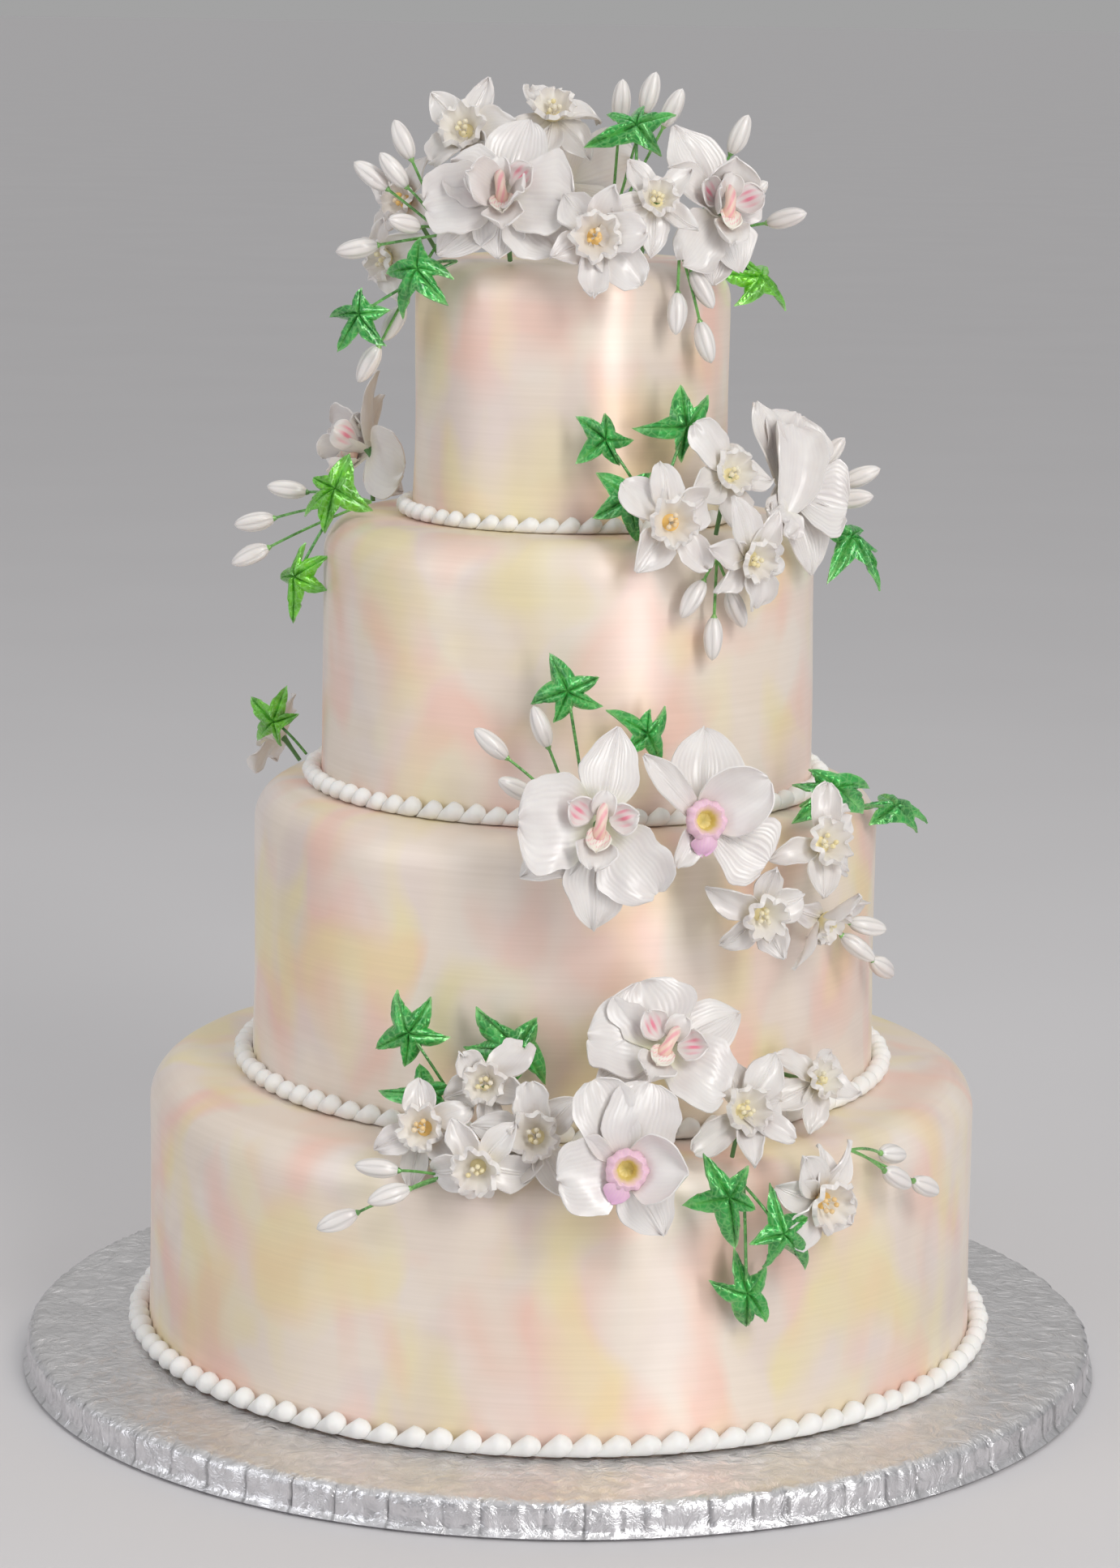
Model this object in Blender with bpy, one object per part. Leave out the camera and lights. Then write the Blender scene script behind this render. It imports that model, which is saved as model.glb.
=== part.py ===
# A wedding cake of four round tiers on a foil-wrapped board.
# Piped beads run round the foot of each tier. Sprays of sugar orchids, small
# blossoms, ivy leaves and pearl buds climb it from the foot to the crown.
# Metres, +Z up, the origin under the middle of the board. The front looks along -Y.

import math

import bmesh
import bpy
from mathutils import Matrix, Vector

# Driving dimensions of the board and the tiers
MM = 0.001
GAP = 0.3 * MM
BOARD_RADIUS = 272.5 * MM
BOARD_THICKNESS = 18.5 * MM
BOARD_ROUND = 3.0 * MM
TIER_RADII = (208.0 * MM, 155.5 * MM, 121.5 * MM, 77.0 * MM)
TIER_HEIGHTS = (135.5 * MM, 143.5 * MM, 133.5 * MM, 126.0 * MM)
TIER_ROUND = 19.0 * MM
TIER_FLARE = 1.5 * MM
ROUND_SIDES = 36
BOARD_SIDES = 44
ROUND_STEPS = 3

# Driving dimensions of the piped beads, one value a tier
BEAD_PITCHES = (13.9 * MM, 12.3 * MM, 11.4 * MM, 10.2 * MM)
BEAD_HEIGHTS = (10.8 * MM, 9.9 * MM, 9.6 * MM, 8.2 * MM)
BEAD_VALLEY = 0.62

# Driving dimensions of the sugar flowers
PETAL_THICKNESS = 1.3 * MM
WIRE_RADIUS = 0.9 * MM
STEM_RADIUS = 1.4 * MM
HEART_RADIUS = 5.0 * MM
STEM_CLEARANCE = 2.0 * MM
BUD_LENGTH = 21.0 * MM
BUD_RADIUS = 4.4 * MM
LEAF_THICKNESS = 1.3 * MM
LEAF_CROWN = 0.04
FLAT_ANGLE = math.radians(0.3)

# Places are millimetres across, towards the back and up. Turn is the way a flower
# looks, in degrees to the right of the front, tilt is how far it looks up, and the
# headings give its upper sepal, two petals, two lower sepals and lip in degrees.
ORCHIDS = {
    "orchid_crown_left": ((-33, -67, 589), -8, 20, 39, (75, 5, 165, -85, 225, -80)),
    "orchid_crown_right": ((69, -51, 583), 24, 16, 37, (114, 50, 168, -60, -112, -90)),
    "orchid_crown_back": ((-6, 50, 590), 175, 14, 42, (90, 20, 160, -40, 220, -90)),
    "orchid_shoulder": ((101, -60, 452), 38, 24, 43, (115, -13, 60, -66, 205, -114)),
    "orchid_left": ((-100, 34, 458), -118, 14, 39, (92, 22, 160, -42, 222, -90)),
    "orchid_third_left": ((15, -190, 312), 4, 10, 46, (80, -20, 178, -88, 224, -100)),
    "orchid_third_right": ((62, -172, 311), 16, 12, 38, (85, 28, 132, -45, 195, -95)),
    "orchid_base_upper": ((47, -192, 207), 8, 30, 41, (105, 24, 165, -38, 215, -110)),
    "orchid_base_lower": ((29, -236, 164), 6, 8, 40, (65, -12, 122, -64, 188, 244)),
}

# The small blossoms: place, turn, tilt, petal length, roll
BLOSSOMS = {
    "blossom_crown_a": ((-52, -26, 617), -18, 25, 25, 10),
    "blossom_crown_b": ((-11, 0, 624), 0, 50, 24, 0),
    "blossom_crown_c": ((10, -92, 572), 2, 5, 25, 18),
    "blossom_crown_d": ((38, -82, 588), 12, 25, 20, 0),
    "blossom_crown_e": ((-81, -4, 583), -42, 15, 22, 20),
    "blossom_crown_f": ((-89, -16, 557), -50, -10, 21, 0),
    "blossom_shoulder_a": ((46, -128, 443), 14, 8, 25, 12),
    "blossom_shoulder_b": ((74, -90, 461), 30, 20, 23, 0),
    "blossom_shoulder_c": ((84, -112, 425), 38, -5, 22, 30),
    "blossom_back_left": ((-146, 66, 305), -115, 32, 22, 0),
    "blossom_third_a": ((90, -170, 268), 22, -8, 23, 36),
    "blossom_third_b": ((119, -136, 293), 36, 22, 24, 8),
    "blossom_third_c": ((121, -130, 258), 56, -32, 22, 20),
    "blossom_base_a": ((-62, -196, 170), -18, 15, 23, 14),
    "blossom_base_b": ((-35, -190, 190), -6, 15, 21, 30),
    "blossom_base_c": ((-37, -214, 158), -12, -5, 24, 0),
    "blossom_base_d": ((-11, -207, 170), -8, 15, 24, 24),
    "blossom_base_e": ((83, -189, 178), 22, 20, 24, 6),
    "blossom_base_f": ((120, -135, 178), 42, 28, 20, 30),
    "blossom_base_g": ((120, -193, 138), 34, -5, 26, 24),
}

# The ivy: where the sprig leaves the cake, then each leaf's place, turn, tilt,
# length and the heading of its tip
IVY = {
    "ivy_crown_top": ((30, -28, 562), (((29, -31, 621), 5, 35, 37, 100),)),
    "ivy_crown_left": ((-56, -44, 557), (((-73, -62, 554), -25, 15, 40, 262), ((-101, -52, 532), -20, 5, 38, 235))),
    "ivy_crown_right": ((60, 8, 566), (((90, 2, 548), 35, 25, 40, -12),)),
    "ivy_shoulder_left": ((40, -94, 441), (((16, -95, 478), 0, 5, 36, 120), ((27, -106, 452), 5, 5, 37, 245),
                          ((54, -88, 484), 15, 5, 40, 60))),
    "ivy_shoulder_right": ((108, 10, 437), (((138, -4, 421), 30, 35, 46, -35),)),
    "ivy_left": ((-113, -16, 437), (((-114, -26, 445), -20, 10, 40, 105), ((-133, -22, 401), -35, 5, 40, 250))),
    "ivy_back_left": ((-132, 30, 303), (((-147, 30, 319), -30, 10, 40, 150),)),
    "ivy_third_upper": ((10, -140, 306), (((0, -144, 366), 0, 5, 38, 100), ((37, -140, 346), 10, 5, 38, 118))),
    "ivy_third_right": ((112, -96, 304), (((128, -98, 313), 30, 20, 38, 20), ((160, -44, 293), 40, 50, 34, 0))),
    "ivy_base_left": ((-46, -164, 168), (((-71, -163, 207), -15, 5, 37, 75), ((-20, -168, 203), -5, 0, 38, 140),
                      ((-63, -174, 181), -20, 20, 36, 190))),
    "ivy_base_right": ((84, -206, 148), (((76, -228, 149), 16, 5, 40, 262), ((101, -214, 128), 28, 0, 40, -48),
                       ((86, -206, 97), 20, 0, 36, 270))),
}

# The buds: where the spray leaves the cake, then the middle of each bud
BUDS = {
    "buds_crown_left": ((-62, -50, 570), ((-82, -44, 614), (-97, -46, 597), (-86, -52, 600), (-80, -70, 576),
                        (-103, -54, 563), (-86, -38, 527), (-98, -40, 507))),
    "buds_crown_top": ((18, 4, 570), ((22, -1, 633), (36, -1, 637), (47, -6, 630))),
    "buds_crown_right": ((56, -14, 566), ((79, -18, 618), (102, -30, 579), (85, -28, 590))),
    "buds_crown_front": ((50, -66, 566), ((61, -68, 547), (49, -76, 536), (63, -67, 522))),
    "buds_shoulder_right": ((106, 0, 437), ((128, -2, 463), (143, -2, 452), (139, -10, 442))),
    "buds_shoulder_low": ((69, -112, 424), ((58, -118, 406), (68, -114, 387), (79, -105, 400))),
    "buds_left": ((-98, -4, 436), ((-140, 2, 441), (-156, 0, 425), (-158, 0, 408))),
    "buds_third_left": ((4, -146, 306), ((-35, -146, 341), (-12, -145, 349), (-23, -162, 323))),
    "buds_third_right": ((120, -102, 252), ((146, -92, 245), (141, -100, 236), (156, -60, 217))),
    "buds_base_left": ((-52, -206, 150), ((-84, -204, 153), (-78, -214, 143), (-102, -205, 128))),
    "buds_base_right": ((134, -180, 158), ((156, -154, 149), (158, -160, 139), (173, -142, 130))),
}

# Colours: red, green, blue, roughness, metallic
FOIL = (0.72, 0.73, 0.74, 0.25, 1.0)
FONDANT = (0.84, 0.72, 0.60, 0.35, 0.0)
ICING = (0.90, 0.89, 0.84, 0.55, 0.0)
PETAL = (0.88, 0.85, 0.83, 0.35, 0.0)
LEAF = (0.02, 0.28, 0.07, 0.30, 0.0)
BUD = (0.90, 0.88, 0.88, 0.25, 0.0)


def clear_scene():
    for thing in list(bpy.data.objects):
        bpy.data.objects.remove(thing)


def make_material(name, look):
    material = bpy.data.materials.new(name)
    material.use_nodes = True
    shader = material.node_tree.nodes["Principled BSDF"]
    shader.inputs["Base Color"].default_value = (look[0], look[1], look[2], 1.0)
    shader.inputs["Roughness"].default_value = look[3]
    shader.inputs["Metallic"].default_value = look[4]
    return material


def place_vector(place):
    return Vector(place) * MM


# Meshes and unions

def mesh_object(name, shape, material):
    bmesh.ops.recalc_face_normals(shape, faces=shape.faces)
    bmesh.ops.triangulate(shape, faces=shape.faces)
    mesh = bpy.data.meshes.new(name)
    shape.to_mesh(mesh)
    shape.free()
    thing = bpy.data.objects.new(name, mesh)
    bpy.context.scene.collection.objects.link(thing)
    mesh.materials.append(material)
    return thing


def merge_flat_faces(mesh):
    # Faces that lie in one plane become one again, where the body stays closed
    shape = bmesh.new()
    shape.from_mesh(mesh)
    bmesh.ops.dissolve_limit(shape, angle_limit=FLAT_ANGLE, verts=shape.verts, edges=shape.edges)
    bmesh.ops.triangulate(shape, faces=shape.faces)
    if all(len(edge.link_faces) == 2 for edge in shape.edges):
        shape.to_mesh(mesh)
    shape.free()
    return mesh


def join_pieces(name, shapes, material):
    # The first shape takes the others in with one union
    whole = mesh_object(name, shapes[0], material)
    if len(shapes) == 1:
        return whole
    others = bpy.data.collections.new(name + "_pieces")
    for number, shape in enumerate(shapes[1:]):
        piece = mesh_object(name + "_piece_" + str(number), shape, material)
        bpy.context.scene.collection.objects.unlink(piece)
        others.objects.link(piece)
    bpy.context.scene.collection.children.link(others)
    union = whole.modifiers.new("union", "BOOLEAN")
    union.operation = "UNION"
    union.operand_type = "COLLECTION"
    union.collection = others
    bpy.context.view_layer.update()
    result = whole.evaluated_get(bpy.context.evaluated_depsgraph_get())
    mesh = bpy.data.meshes.new_from_object(result)
    whole.modifiers.remove(union)
    whole.data = merge_flat_faces(mesh)
    for piece in list(others.objects):
        bpy.data.objects.remove(piece)
    bpy.data.collections.remove(others)
    return whole


# Board, tiers and beads

def turned(name, outline, sides, material):
    # The outline runs from the axis at the bottom to the axis at the top
    shape = bmesh.new()
    points = [shape.verts.new((reach, 0.0, height)) for reach, height in outline]
    edges = [shape.edges.new(pair) for pair in zip(points, points[1:])]
    bmesh.ops.spin(shape, geom=points + edges, cent=(0, 0, 0), axis=(0, 0, 1),
                   angle=math.tau, steps=sides, use_merge=True)
    bmesh.ops.remove_doubles(shape, verts=shape.verts, dist=MM / 100)
    thing = mesh_object(name, shape, material)
    thing.data.shade_smooth()
    thing.data.set_sharp_from_angle(angle=math.radians(40))
    return thing


def rounded_corner(reach, height, size, steps):
    points = []
    for step in range(steps + 1):
        angle = math.radians(90) * step / steps
        points.append((reach - size + size * math.cos(angle), height - size + size * math.sin(angle)))
    return points


def make_board(material):
    outline = [(0, 0), (BOARD_RADIUS, 0), (BOARD_RADIUS, MM), (BOARD_RADIUS - MM, 2 * MM)]
    outline += rounded_corner(BOARD_RADIUS - MM, BOARD_THICKNESS, BOARD_ROUND, 2)
    return turned("board", outline + [(0, BOARD_THICKNESS)], BOARD_SIDES, material)


def tier_floors():
    floors = []
    height = BOARD_THICKNESS
    for tier_height in TIER_HEIGHTS:
        floors.append(height)
        height += tier_height
    return floors


def make_tiers(material):
    for number, floor in enumerate(tier_floors()):
        reach = TIER_RADII[number]
        top = floor + TIER_HEIGHTS[number]
        outline = [(0, floor + GAP), (reach + TIER_FLARE, floor + GAP)]
        outline += rounded_corner(reach, top, TIER_ROUND, ROUND_STEPS)
        turned("tier_" + str(number + 1), outline + [(0, top)], ROUND_SIDES, material)


def bead_section(size, height, reach, floor):
    # Three corners of the icing where the bead has this share of its full size
    full = height * size
    return ((reach, floor), (reach + full, floor + full * 0.38), (reach + full * 0.22, floor + full))


def make_beads(material):
    for number, floor in enumerate(tier_floors()):
        reach = TIER_RADII[number] + TIER_FLARE + GAP
        height = BEAD_HEIGHTS[number]
        middle = math.tau * (reach + height / 2)
        beads = round(middle / BEAD_PITCHES[number])
        shape = bmesh.new()
        rings = []
        for station in range(beads * 2):
            angle = math.tau * station / (beads * 2)
            size = BEAD_VALLEY if station % 2 else 1.0
            section = bead_section(size, height, reach, floor + GAP)
            rings.append([shape.verts.new((r * math.sin(angle), -r * math.cos(angle), z)) for r, z in section])
        for station, ring in enumerate(rings):
            following = rings[(station + 1) % len(rings)]
            for corner in range(3):
                beyond = (corner + 1) % 3
                shape.faces.new((ring[corner], following[corner], following[beyond], ring[beyond]))
        mesh_object("beads_" + str(number + 1), shape, material)


# Where the cake is, for the stems

def nearest_cake(point):
    # The nearest place on the rounded tiers to a point beside or above them
    reach = math.hypot(point.x, point.y)
    best = None
    for number, floor in enumerate(tier_floors()):
        inner = min(reach, TIER_RADII[number] + TIER_FLARE - TIER_ROUND)
        height = min(max(point.z, floor + TIER_ROUND), floor + TIER_HEIGHTS[number] - TIER_ROUND)
        core = Vector((point.x * inner / reach, point.y * inner / reach, height))
        spot = core + (point - core).normalized() * TIER_ROUND
        if best is None or (spot - point).length < (best - point).length:
            best = spot
    return best


# Petals, leaves and wires

def sheet(rows, thickness):
    # A thin closed solid from rows of points, both faces split alike
    # The last row may be a single point
    shape = bmesh.new()
    front = []
    back = []
    for number, row in enumerate(rows):
        before = rows[max(number - 1, 0)]
        after = rows[min(number + 1, len(rows) - 1)]
        front.append([])
        back.append([])
        for place, point in enumerate(row):
            along = after[min(place, len(after) - 1)] - before[min(place, len(before) - 1)]
            wide = row if len(row) > 1 else before
            spot = min(place, len(wide) - 1)
            across = wide[min(spot + 1, len(wide) - 1)] - wide[max(spot - 1, 0)]
            normal = across.cross(along).normalized() * thickness / 2
            front[-1].append(shape.verts.new(point + normal))
            back[-1].append(shape.verts.new(point - normal))
    for side in (front, back):
        for lower, upper in zip(side, side[1:]):
            for place in range(len(lower) - 1):
                if len(upper) == 1:
                    shape.faces.new((lower[place], lower[place + 1], upper[0]))
                else:
                    shape.faces.new((lower[place], lower[place + 1], upper[place + 1]))
                    shape.faces.new((lower[place], upper[place + 1], upper[place]))
    rim = [(row, 0) for row in range(len(rows))]
    rim += [(len(rows) - 1 - row, -1) for row in range(len(rows)) if len(rows[len(rows) - 1 - row]) > 1]
    rim += [(0, place) for place in range(len(rows[0]) - 2, 0, -1)]
    for (row, place), (next_row, next_place) in zip(rim, rim[1:] + rim[:1]):
        corners = (front[row][place], front[next_row][next_place], back[next_row][next_place], back[row][place])
        shape.faces.new(corners)
    return shape


def petal_rows(length, width, heading, lift, bend, cup, stations):
    # The petal leaves the heart along its heading, rises by the lift and bends on its way
    outward = Vector((math.cos(heading), math.sin(heading), 0))
    beside = Vector((-math.sin(heading), math.cos(heading), 0))
    upward = Vector((0, 0, 1))
    rows = []
    for share, half in stations:
        angle = lift + bend * share
        run = length * (math.sin(angle) - math.sin(lift)) / bend
        rise = length * (math.cos(lift) - math.cos(angle)) / bend
        middle = outward * run + upward * rise
        raised = (upward * math.cos(angle) - outward * math.sin(angle)) * cup
        side = beside * (width * half / 2)
        if half == 0:
            rows.append([middle])
        else:
            rows.append([middle - side + raised * half, middle, middle + side + raised * half])
    return rows


BROAD = ((0.05, 0.10), (0.45, 0.95), (0.80, 0.86), (1.0, 0))
LONG = ((0.05, 0.10), (0.52, 1.0), (1.0, 0))
PETAL_LIFTS = (10, 24, 29, 10, 10)


def stem(base, tip, base_radius, tip_radius, sides):
    # A tapered rod between two points
    shape = bmesh.new()
    axis = (tip - base).normalized()
    turn = axis.to_track_quat("Z", "Y").to_matrix().to_4x4()
    bmesh.ops.create_cone(shape, cap_ends=True, segments=sides, radius1=base_radius, radius2=tip_radius,
                          depth=(tip - base).length,
                          matrix=Matrix.Translation((base + tip) / 2) @ turn)
    return shape


def flower_matrix(place, turn, tilt, roll=0.0):
    # Local +Z looks out of the flower and local +Y is its top
    facing = Matrix.Rotation(math.radians(turn), 4, "Z") @ Matrix.Rotation(math.radians(90 - tilt), 4, "X")
    return Matrix.Translation(place_vector(place)) @ facing @ Matrix.Rotation(math.radians(roll), 4, "Z")


def stem_end(matrix):
    # Where the stem ends in the flower's own frame, just short of the cake
    heart = matrix.translation
    spot = nearest_cake(heart)
    reach = (spot - heart).length - STEM_CLEARANCE
    return matrix.inverted() @ (heart + (spot - heart).normalized() * reach)


def make_orchid(name, place, turn, tilt, size, headings, material):
    matrix = flower_matrix(place, turn, tilt)
    length = size * MM
    petals = []
    for number, heading in enumerate(headings[:5]):
        broad = number in (1, 2)
        width = length * (0.82 if broad else 0.62)
        stations = BROAD if broad else LONG
        lift = math.radians(PETAL_LIFTS[number])
        rows = petal_rows(length, width, math.radians(heading), lift, math.radians(-32), length * 0.06, stations)
        petals.append(sheet(rows, PETAL_THICKNESS))
    lip = petal_rows(length * 0.62, length * 0.46, math.radians(headings[5]), math.radians(66), math.radians(-84),
                     length * 0.12, LONG)
    heart = stem(stem_end(matrix), Vector((0, 0, 2.5 * MM)), STEM_RADIUS, HEART_RADIUS, 4)
    shapes = [heart] + petals + [sheet(lip, PETAL_THICKNESS)]
    orchid = join_pieces(name, shapes, material)
    orchid.matrix_world = matrix


def make_blossom(name, place, turn, tilt, size, roll, material):
    # One body: a frilled cup on a star of five pointed petals, with its stem behind
    matrix = flower_matrix(place, turn, tilt, roll)
    length = size * MM
    end = stem_end(matrix)
    shape = bmesh.new()
    floor = shape.verts.new((0, 0, 1.5 * MM))
    cup = []
    foot = []
    stem_top = []
    stem_tip = []
    star = []
    star_back = []
    for petal in range(5):
        gap = math.radians(90 + 72 * petal - 36)
        ray = Vector((math.cos(gap), math.sin(gap), 0))
        cup.append(shape.verts.new(ray * length * 0.34 + Vector((0, 0, length * 0.42))))
        foot.append(shape.verts.new(ray * length * 0.2 + Vector((0, 0, 1.6 * MM))))
        stem_top.append(shape.verts.new(ray * length * 0.12 - Vector((0, 0, 2.5 * MM))))
        stem_tip.append(shape.verts.new(end + ray * STEM_RADIUS))
    for corner in range(10):
        way = math.radians(90 + 36 * (corner - 1))
        reach, rise = (1.0, 0.10) if corner % 2 else (0.5, 0.04)
        spot = Vector((math.cos(way) * reach, math.sin(way) * reach, rise)) * length
        star.append(shape.verts.new(spot))
        star_back.append(shape.verts.new(spot - Vector((0, 0, PETAL_THICKNESS))))
    for petal in range(5):
        beyond = (petal + 1) % 5
        shape.faces.new((floor, cup[petal], cup[beyond]))
        shape.faces.new((cup[petal], foot[petal], foot[beyond], cup[beyond]))
        shape.faces.new((stem_top[petal], stem_top[beyond], stem_tip[beyond], stem_tip[petal]))
        for inner, outer in ((foot, star), (stem_top, star_back)):
            gap, tip, next_gap = (outer[(2 * petal + step) % 10] for step in range(3))
            shape.faces.new((inner[petal], gap, tip))
            shape.faces.new((inner[petal], tip, inner[beyond]))
            shape.faces.new((inner[beyond], tip, next_gap))
    for corner in range(10):
        beyond = (corner + 1) % 10
        shape.faces.new((star[corner], star[beyond], star_back[beyond], star_back[corner]))
    shape.faces.new(stem_tip)
    blossom = mesh_object(name, shape, material)
    blossom.matrix_world = matrix


IVY_OUTLINE = ((0, 1.0), (30, 0.42), (62, 0.80), (94, 0.36), (128, 0.52), (180, 0.12),
               (232, 0.52), (266, 0.36), (298, 0.80), (330, 0.42))


def ivy_leaf(length, heading):
    # A five-pointed leaf folded along its veins, both faces split alike from the middle
    shape = bmesh.new()
    faces = []
    for side in (0.5, -0.5):
        lift = Vector((0, 0, side * LEAF_THICKNESS))
        middle = shape.verts.new(lift + Vector((0, 0, length * LEAF_CROWN)))
        rim = []
        for angle, reach in IVY_OUTLINE:
            way = math.radians(angle + heading)
            droop = -0.10 * reach * reach if reach > 0.5 else 0.05
            spot = Vector((math.cos(way) * reach, math.sin(way) * reach, droop)) * length * 0.62
            rim.append(shape.verts.new(spot + lift))
        for corner in range(len(rim)):
            shape.faces.new((middle, rim[corner], rim[(corner + 1) % len(rim)]))
        faces.append(rim)
    front, back = faces
    for corner in range(len(front)):
        beyond = (corner + 1) % len(front)
        shape.faces.new((front[corner], front[beyond], back[beyond], back[corner]))
    return shape


def make_ivy(name, root, leaves, material):
    # Each leaf hangs on its own wire, and the wires meet where the sprig leaves the cake
    start = place_vector(root)
    shapes = []
    for place, turn, tilt, length, heading in leaves:
        matrix = flower_matrix(place, turn, tilt)
        leaf = ivy_leaf(length * MM, heading)
        bmesh.ops.transform(leaf, matrix=matrix, verts=leaf.verts)
        shapes.append(leaf)
        leaf_middle = matrix @ Vector((0, 0, length * MM * LEAF_CROWN))
        shapes.append(stem(start, leaf_middle, WIRE_RADIUS * 1.2, WIRE_RADIUS, 3))
    join_pieces(name, shapes, material)


def bud_shape(root, middle):
    # A spindle on the end of its wire, in one turned body of four sides
    way = (middle - root).normalized()
    turn = way.to_track_quat("Z", "Y").to_matrix().to_4x4()
    half = BUD_LENGTH / 2
    wire = (middle - root).length
    outline = ((0, WIRE_RADIUS), (wire - half, WIRE_RADIUS), (wire - half * 0.4, BUD_RADIUS * 0.92),
               (wire + half * 0.3, BUD_RADIUS * 0.95))
    shape = bmesh.new()
    rings = []
    for height, radius in outline:
        ring = []
        for side in range(4):
            angle = math.tau * side / 4
            ring.append(shape.verts.new((radius * math.cos(angle), radius * math.sin(angle), height)))
        rings.append(ring)
    tip = shape.verts.new((0, 0, wire + half))
    shape.faces.new(rings[0])
    for lower, upper in zip(rings, rings[1:]):
        for side in range(4):
            beyond = (side + 1) % 4
            shape.faces.new((lower[side], lower[beyond], upper[beyond], upper[side]))
    for side in range(4):
        shape.faces.new((rings[-1][side], rings[-1][(side + 1) % 4], tip))
    bmesh.ops.transform(shape, matrix=Matrix.Translation(root) @ turn, verts=shape.verts)
    return shape


def make_buds(name, root, middles, material):
    start = place_vector(root)
    shapes = [bud_shape(start, place_vector(middle)) for middle in middles]
    join_pieces(name, shapes, material)


def build():
    clear_scene()
    make_board(make_material("foil", FOIL))
    make_tiers(make_material("fondant", FONDANT))
    make_beads(make_material("icing", ICING))
    petal = make_material("petal", PETAL)
    leaf = make_material("leaf", LEAF)
    bud = make_material("bud", BUD)
    for name, (place, turn, tilt, size, headings) in ORCHIDS.items():
        make_orchid(name, place, turn, tilt, size, headings, petal)
    for name, (place, turn, tilt, size, roll) in BLOSSOMS.items():
        make_blossom(name, place, turn, tilt, size, roll, petal)
    for name, (root, leaves) in IVY.items():
        make_ivy(name, root, leaves, leaf)
    for name, (root, middles) in BUDS.items():
        make_buds(name, root, middles, bud)


build()
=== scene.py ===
# %% [markdown]
# # A tiered wedding cake with sugar flowers
# This lesson dresses a plain model of a wedding cake. The plain model already holds
# every piece at its real size and place: a foil-wrapped board, four tiers, a ring of
# piped beads at the foot of each tier, and the sprays of flowers. Each step below
# makes the finely shaped piece that is seen in place of one plain solid.
# The first cell opens the plain model.

# %% Open the plain model
import math
import random

import bpy
import numpy as np
from mathutils import Matrix, Vector, noise


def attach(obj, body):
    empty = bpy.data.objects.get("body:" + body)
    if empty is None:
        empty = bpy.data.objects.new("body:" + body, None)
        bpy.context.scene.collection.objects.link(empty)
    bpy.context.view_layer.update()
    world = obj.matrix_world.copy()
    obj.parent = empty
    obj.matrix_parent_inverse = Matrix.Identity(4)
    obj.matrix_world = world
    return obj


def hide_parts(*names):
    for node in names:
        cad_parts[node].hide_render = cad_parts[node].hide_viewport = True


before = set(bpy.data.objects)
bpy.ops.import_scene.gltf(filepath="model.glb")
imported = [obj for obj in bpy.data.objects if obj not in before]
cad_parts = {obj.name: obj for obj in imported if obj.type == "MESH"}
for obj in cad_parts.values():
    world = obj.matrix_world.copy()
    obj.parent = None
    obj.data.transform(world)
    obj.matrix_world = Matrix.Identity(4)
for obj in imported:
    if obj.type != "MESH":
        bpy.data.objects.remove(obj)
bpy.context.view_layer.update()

MM = 0.001

# %% [markdown]
# ## The camera
# The photograph was taken from a little above the middle of the cake, about two
# metres away, looking down by some ten degrees. The lens length is the one that
# makes the tiers and the board come out as wide as they are in the picture. The camera
# could be aimed with a constraint, but three angles keep its small tilt exactly.

# %% Place the camera
CAMERA_PLACE = Vector((0.0, -2.0117, 0.6727))
CAMERA_PITCH = -0.1856
CAMERA_YAW = -0.0015
CAMERA_ROLL = 0.0142
CAMERA_LENS = 93.81
FILM_WIDTH = 36.0


def place_camera():
    """A camera from its three axes: right, top and away from where it looks."""
    looking = Vector((math.sin(CAMERA_YAW) * math.cos(CAMERA_PITCH),
                      math.cos(CAMERA_YAW) * math.cos(CAMERA_PITCH), math.sin(CAMERA_PITCH)))
    level = Vector((math.cos(CAMERA_YAW), -math.sin(CAMERA_YAW), 0.0))
    upright = level.cross(looking)
    right = level * math.cos(CAMERA_ROLL) + upright * math.sin(CAMERA_ROLL)
    top = upright * math.cos(CAMERA_ROLL) - level * math.sin(CAMERA_ROLL)
    turn = Matrix((right, top, -looking)).transposed().to_4x4()
    camera = bpy.data.objects.new("camera", bpy.data.cameras.new("camera"))
    camera.data.lens = CAMERA_LENS
    camera.data.sensor_width = FILM_WIDTH
    camera.matrix_world = Matrix.Translation(CAMERA_PLACE) @ turn
    bpy.context.scene.collection.objects.link(camera)
    bpy.context.scene.camera = camera
    return camera


camera = place_camera()
print("camera stands at", [round(value, 2) for value in camera.matrix_world.translation])

# %% [markdown]
# ## The studio
# A cake like this is lit softly, so that the white petals keep their shading. The
# main lamp stands in front on the right and above. A tall narrow lamp beside it draws
# the upright gloss on the pearl fondant. The others lift the shade. The sky is bright
# above and darker low down behind the camera, because foil and glaze only show their
# wrinkles where they have something light and something dark to mirror. A bright sky
# could light the cake alone, but then nothing on it would shine.

# %% Light the studio
LAMPS = (("main_lamp", (1.2, -2.2, 2.1), (0.8, 0.8), 23.0, (1.0, 0.985, 0.96)),
         ("gloss_lamp", (1.25, -2.1, 0.80), (0.36, 1.6), 17.0, (1.0, 1.0, 1.0)),
         ("side_lamp", (-2.2, -1.3, 1.2), (1.6, 1.6), 14.5, (0.94, 0.96, 1.0)),
         ("top_lamp", (0.2, 0.6, 2.6), (1.4, 1.4), 6.0, (1.0, 1.0, 1.0)))
LAMP_TARGET = Vector((0.0, 0.0, 0.3))
SKY_STOPS = ((0.0, 0.36), (0.495, 0.365), (0.505, 0.365), (0.60, 0.39), (0.80, 0.54), (1.0, 0.60))
DARK_BAND = ((0.50, 0.0), (0.53, 1.0), (0.62, 1.0), (0.72, 0.0))
DARK_SIDE = ((0.10, 1.0), (0.34, 0.0))
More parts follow.
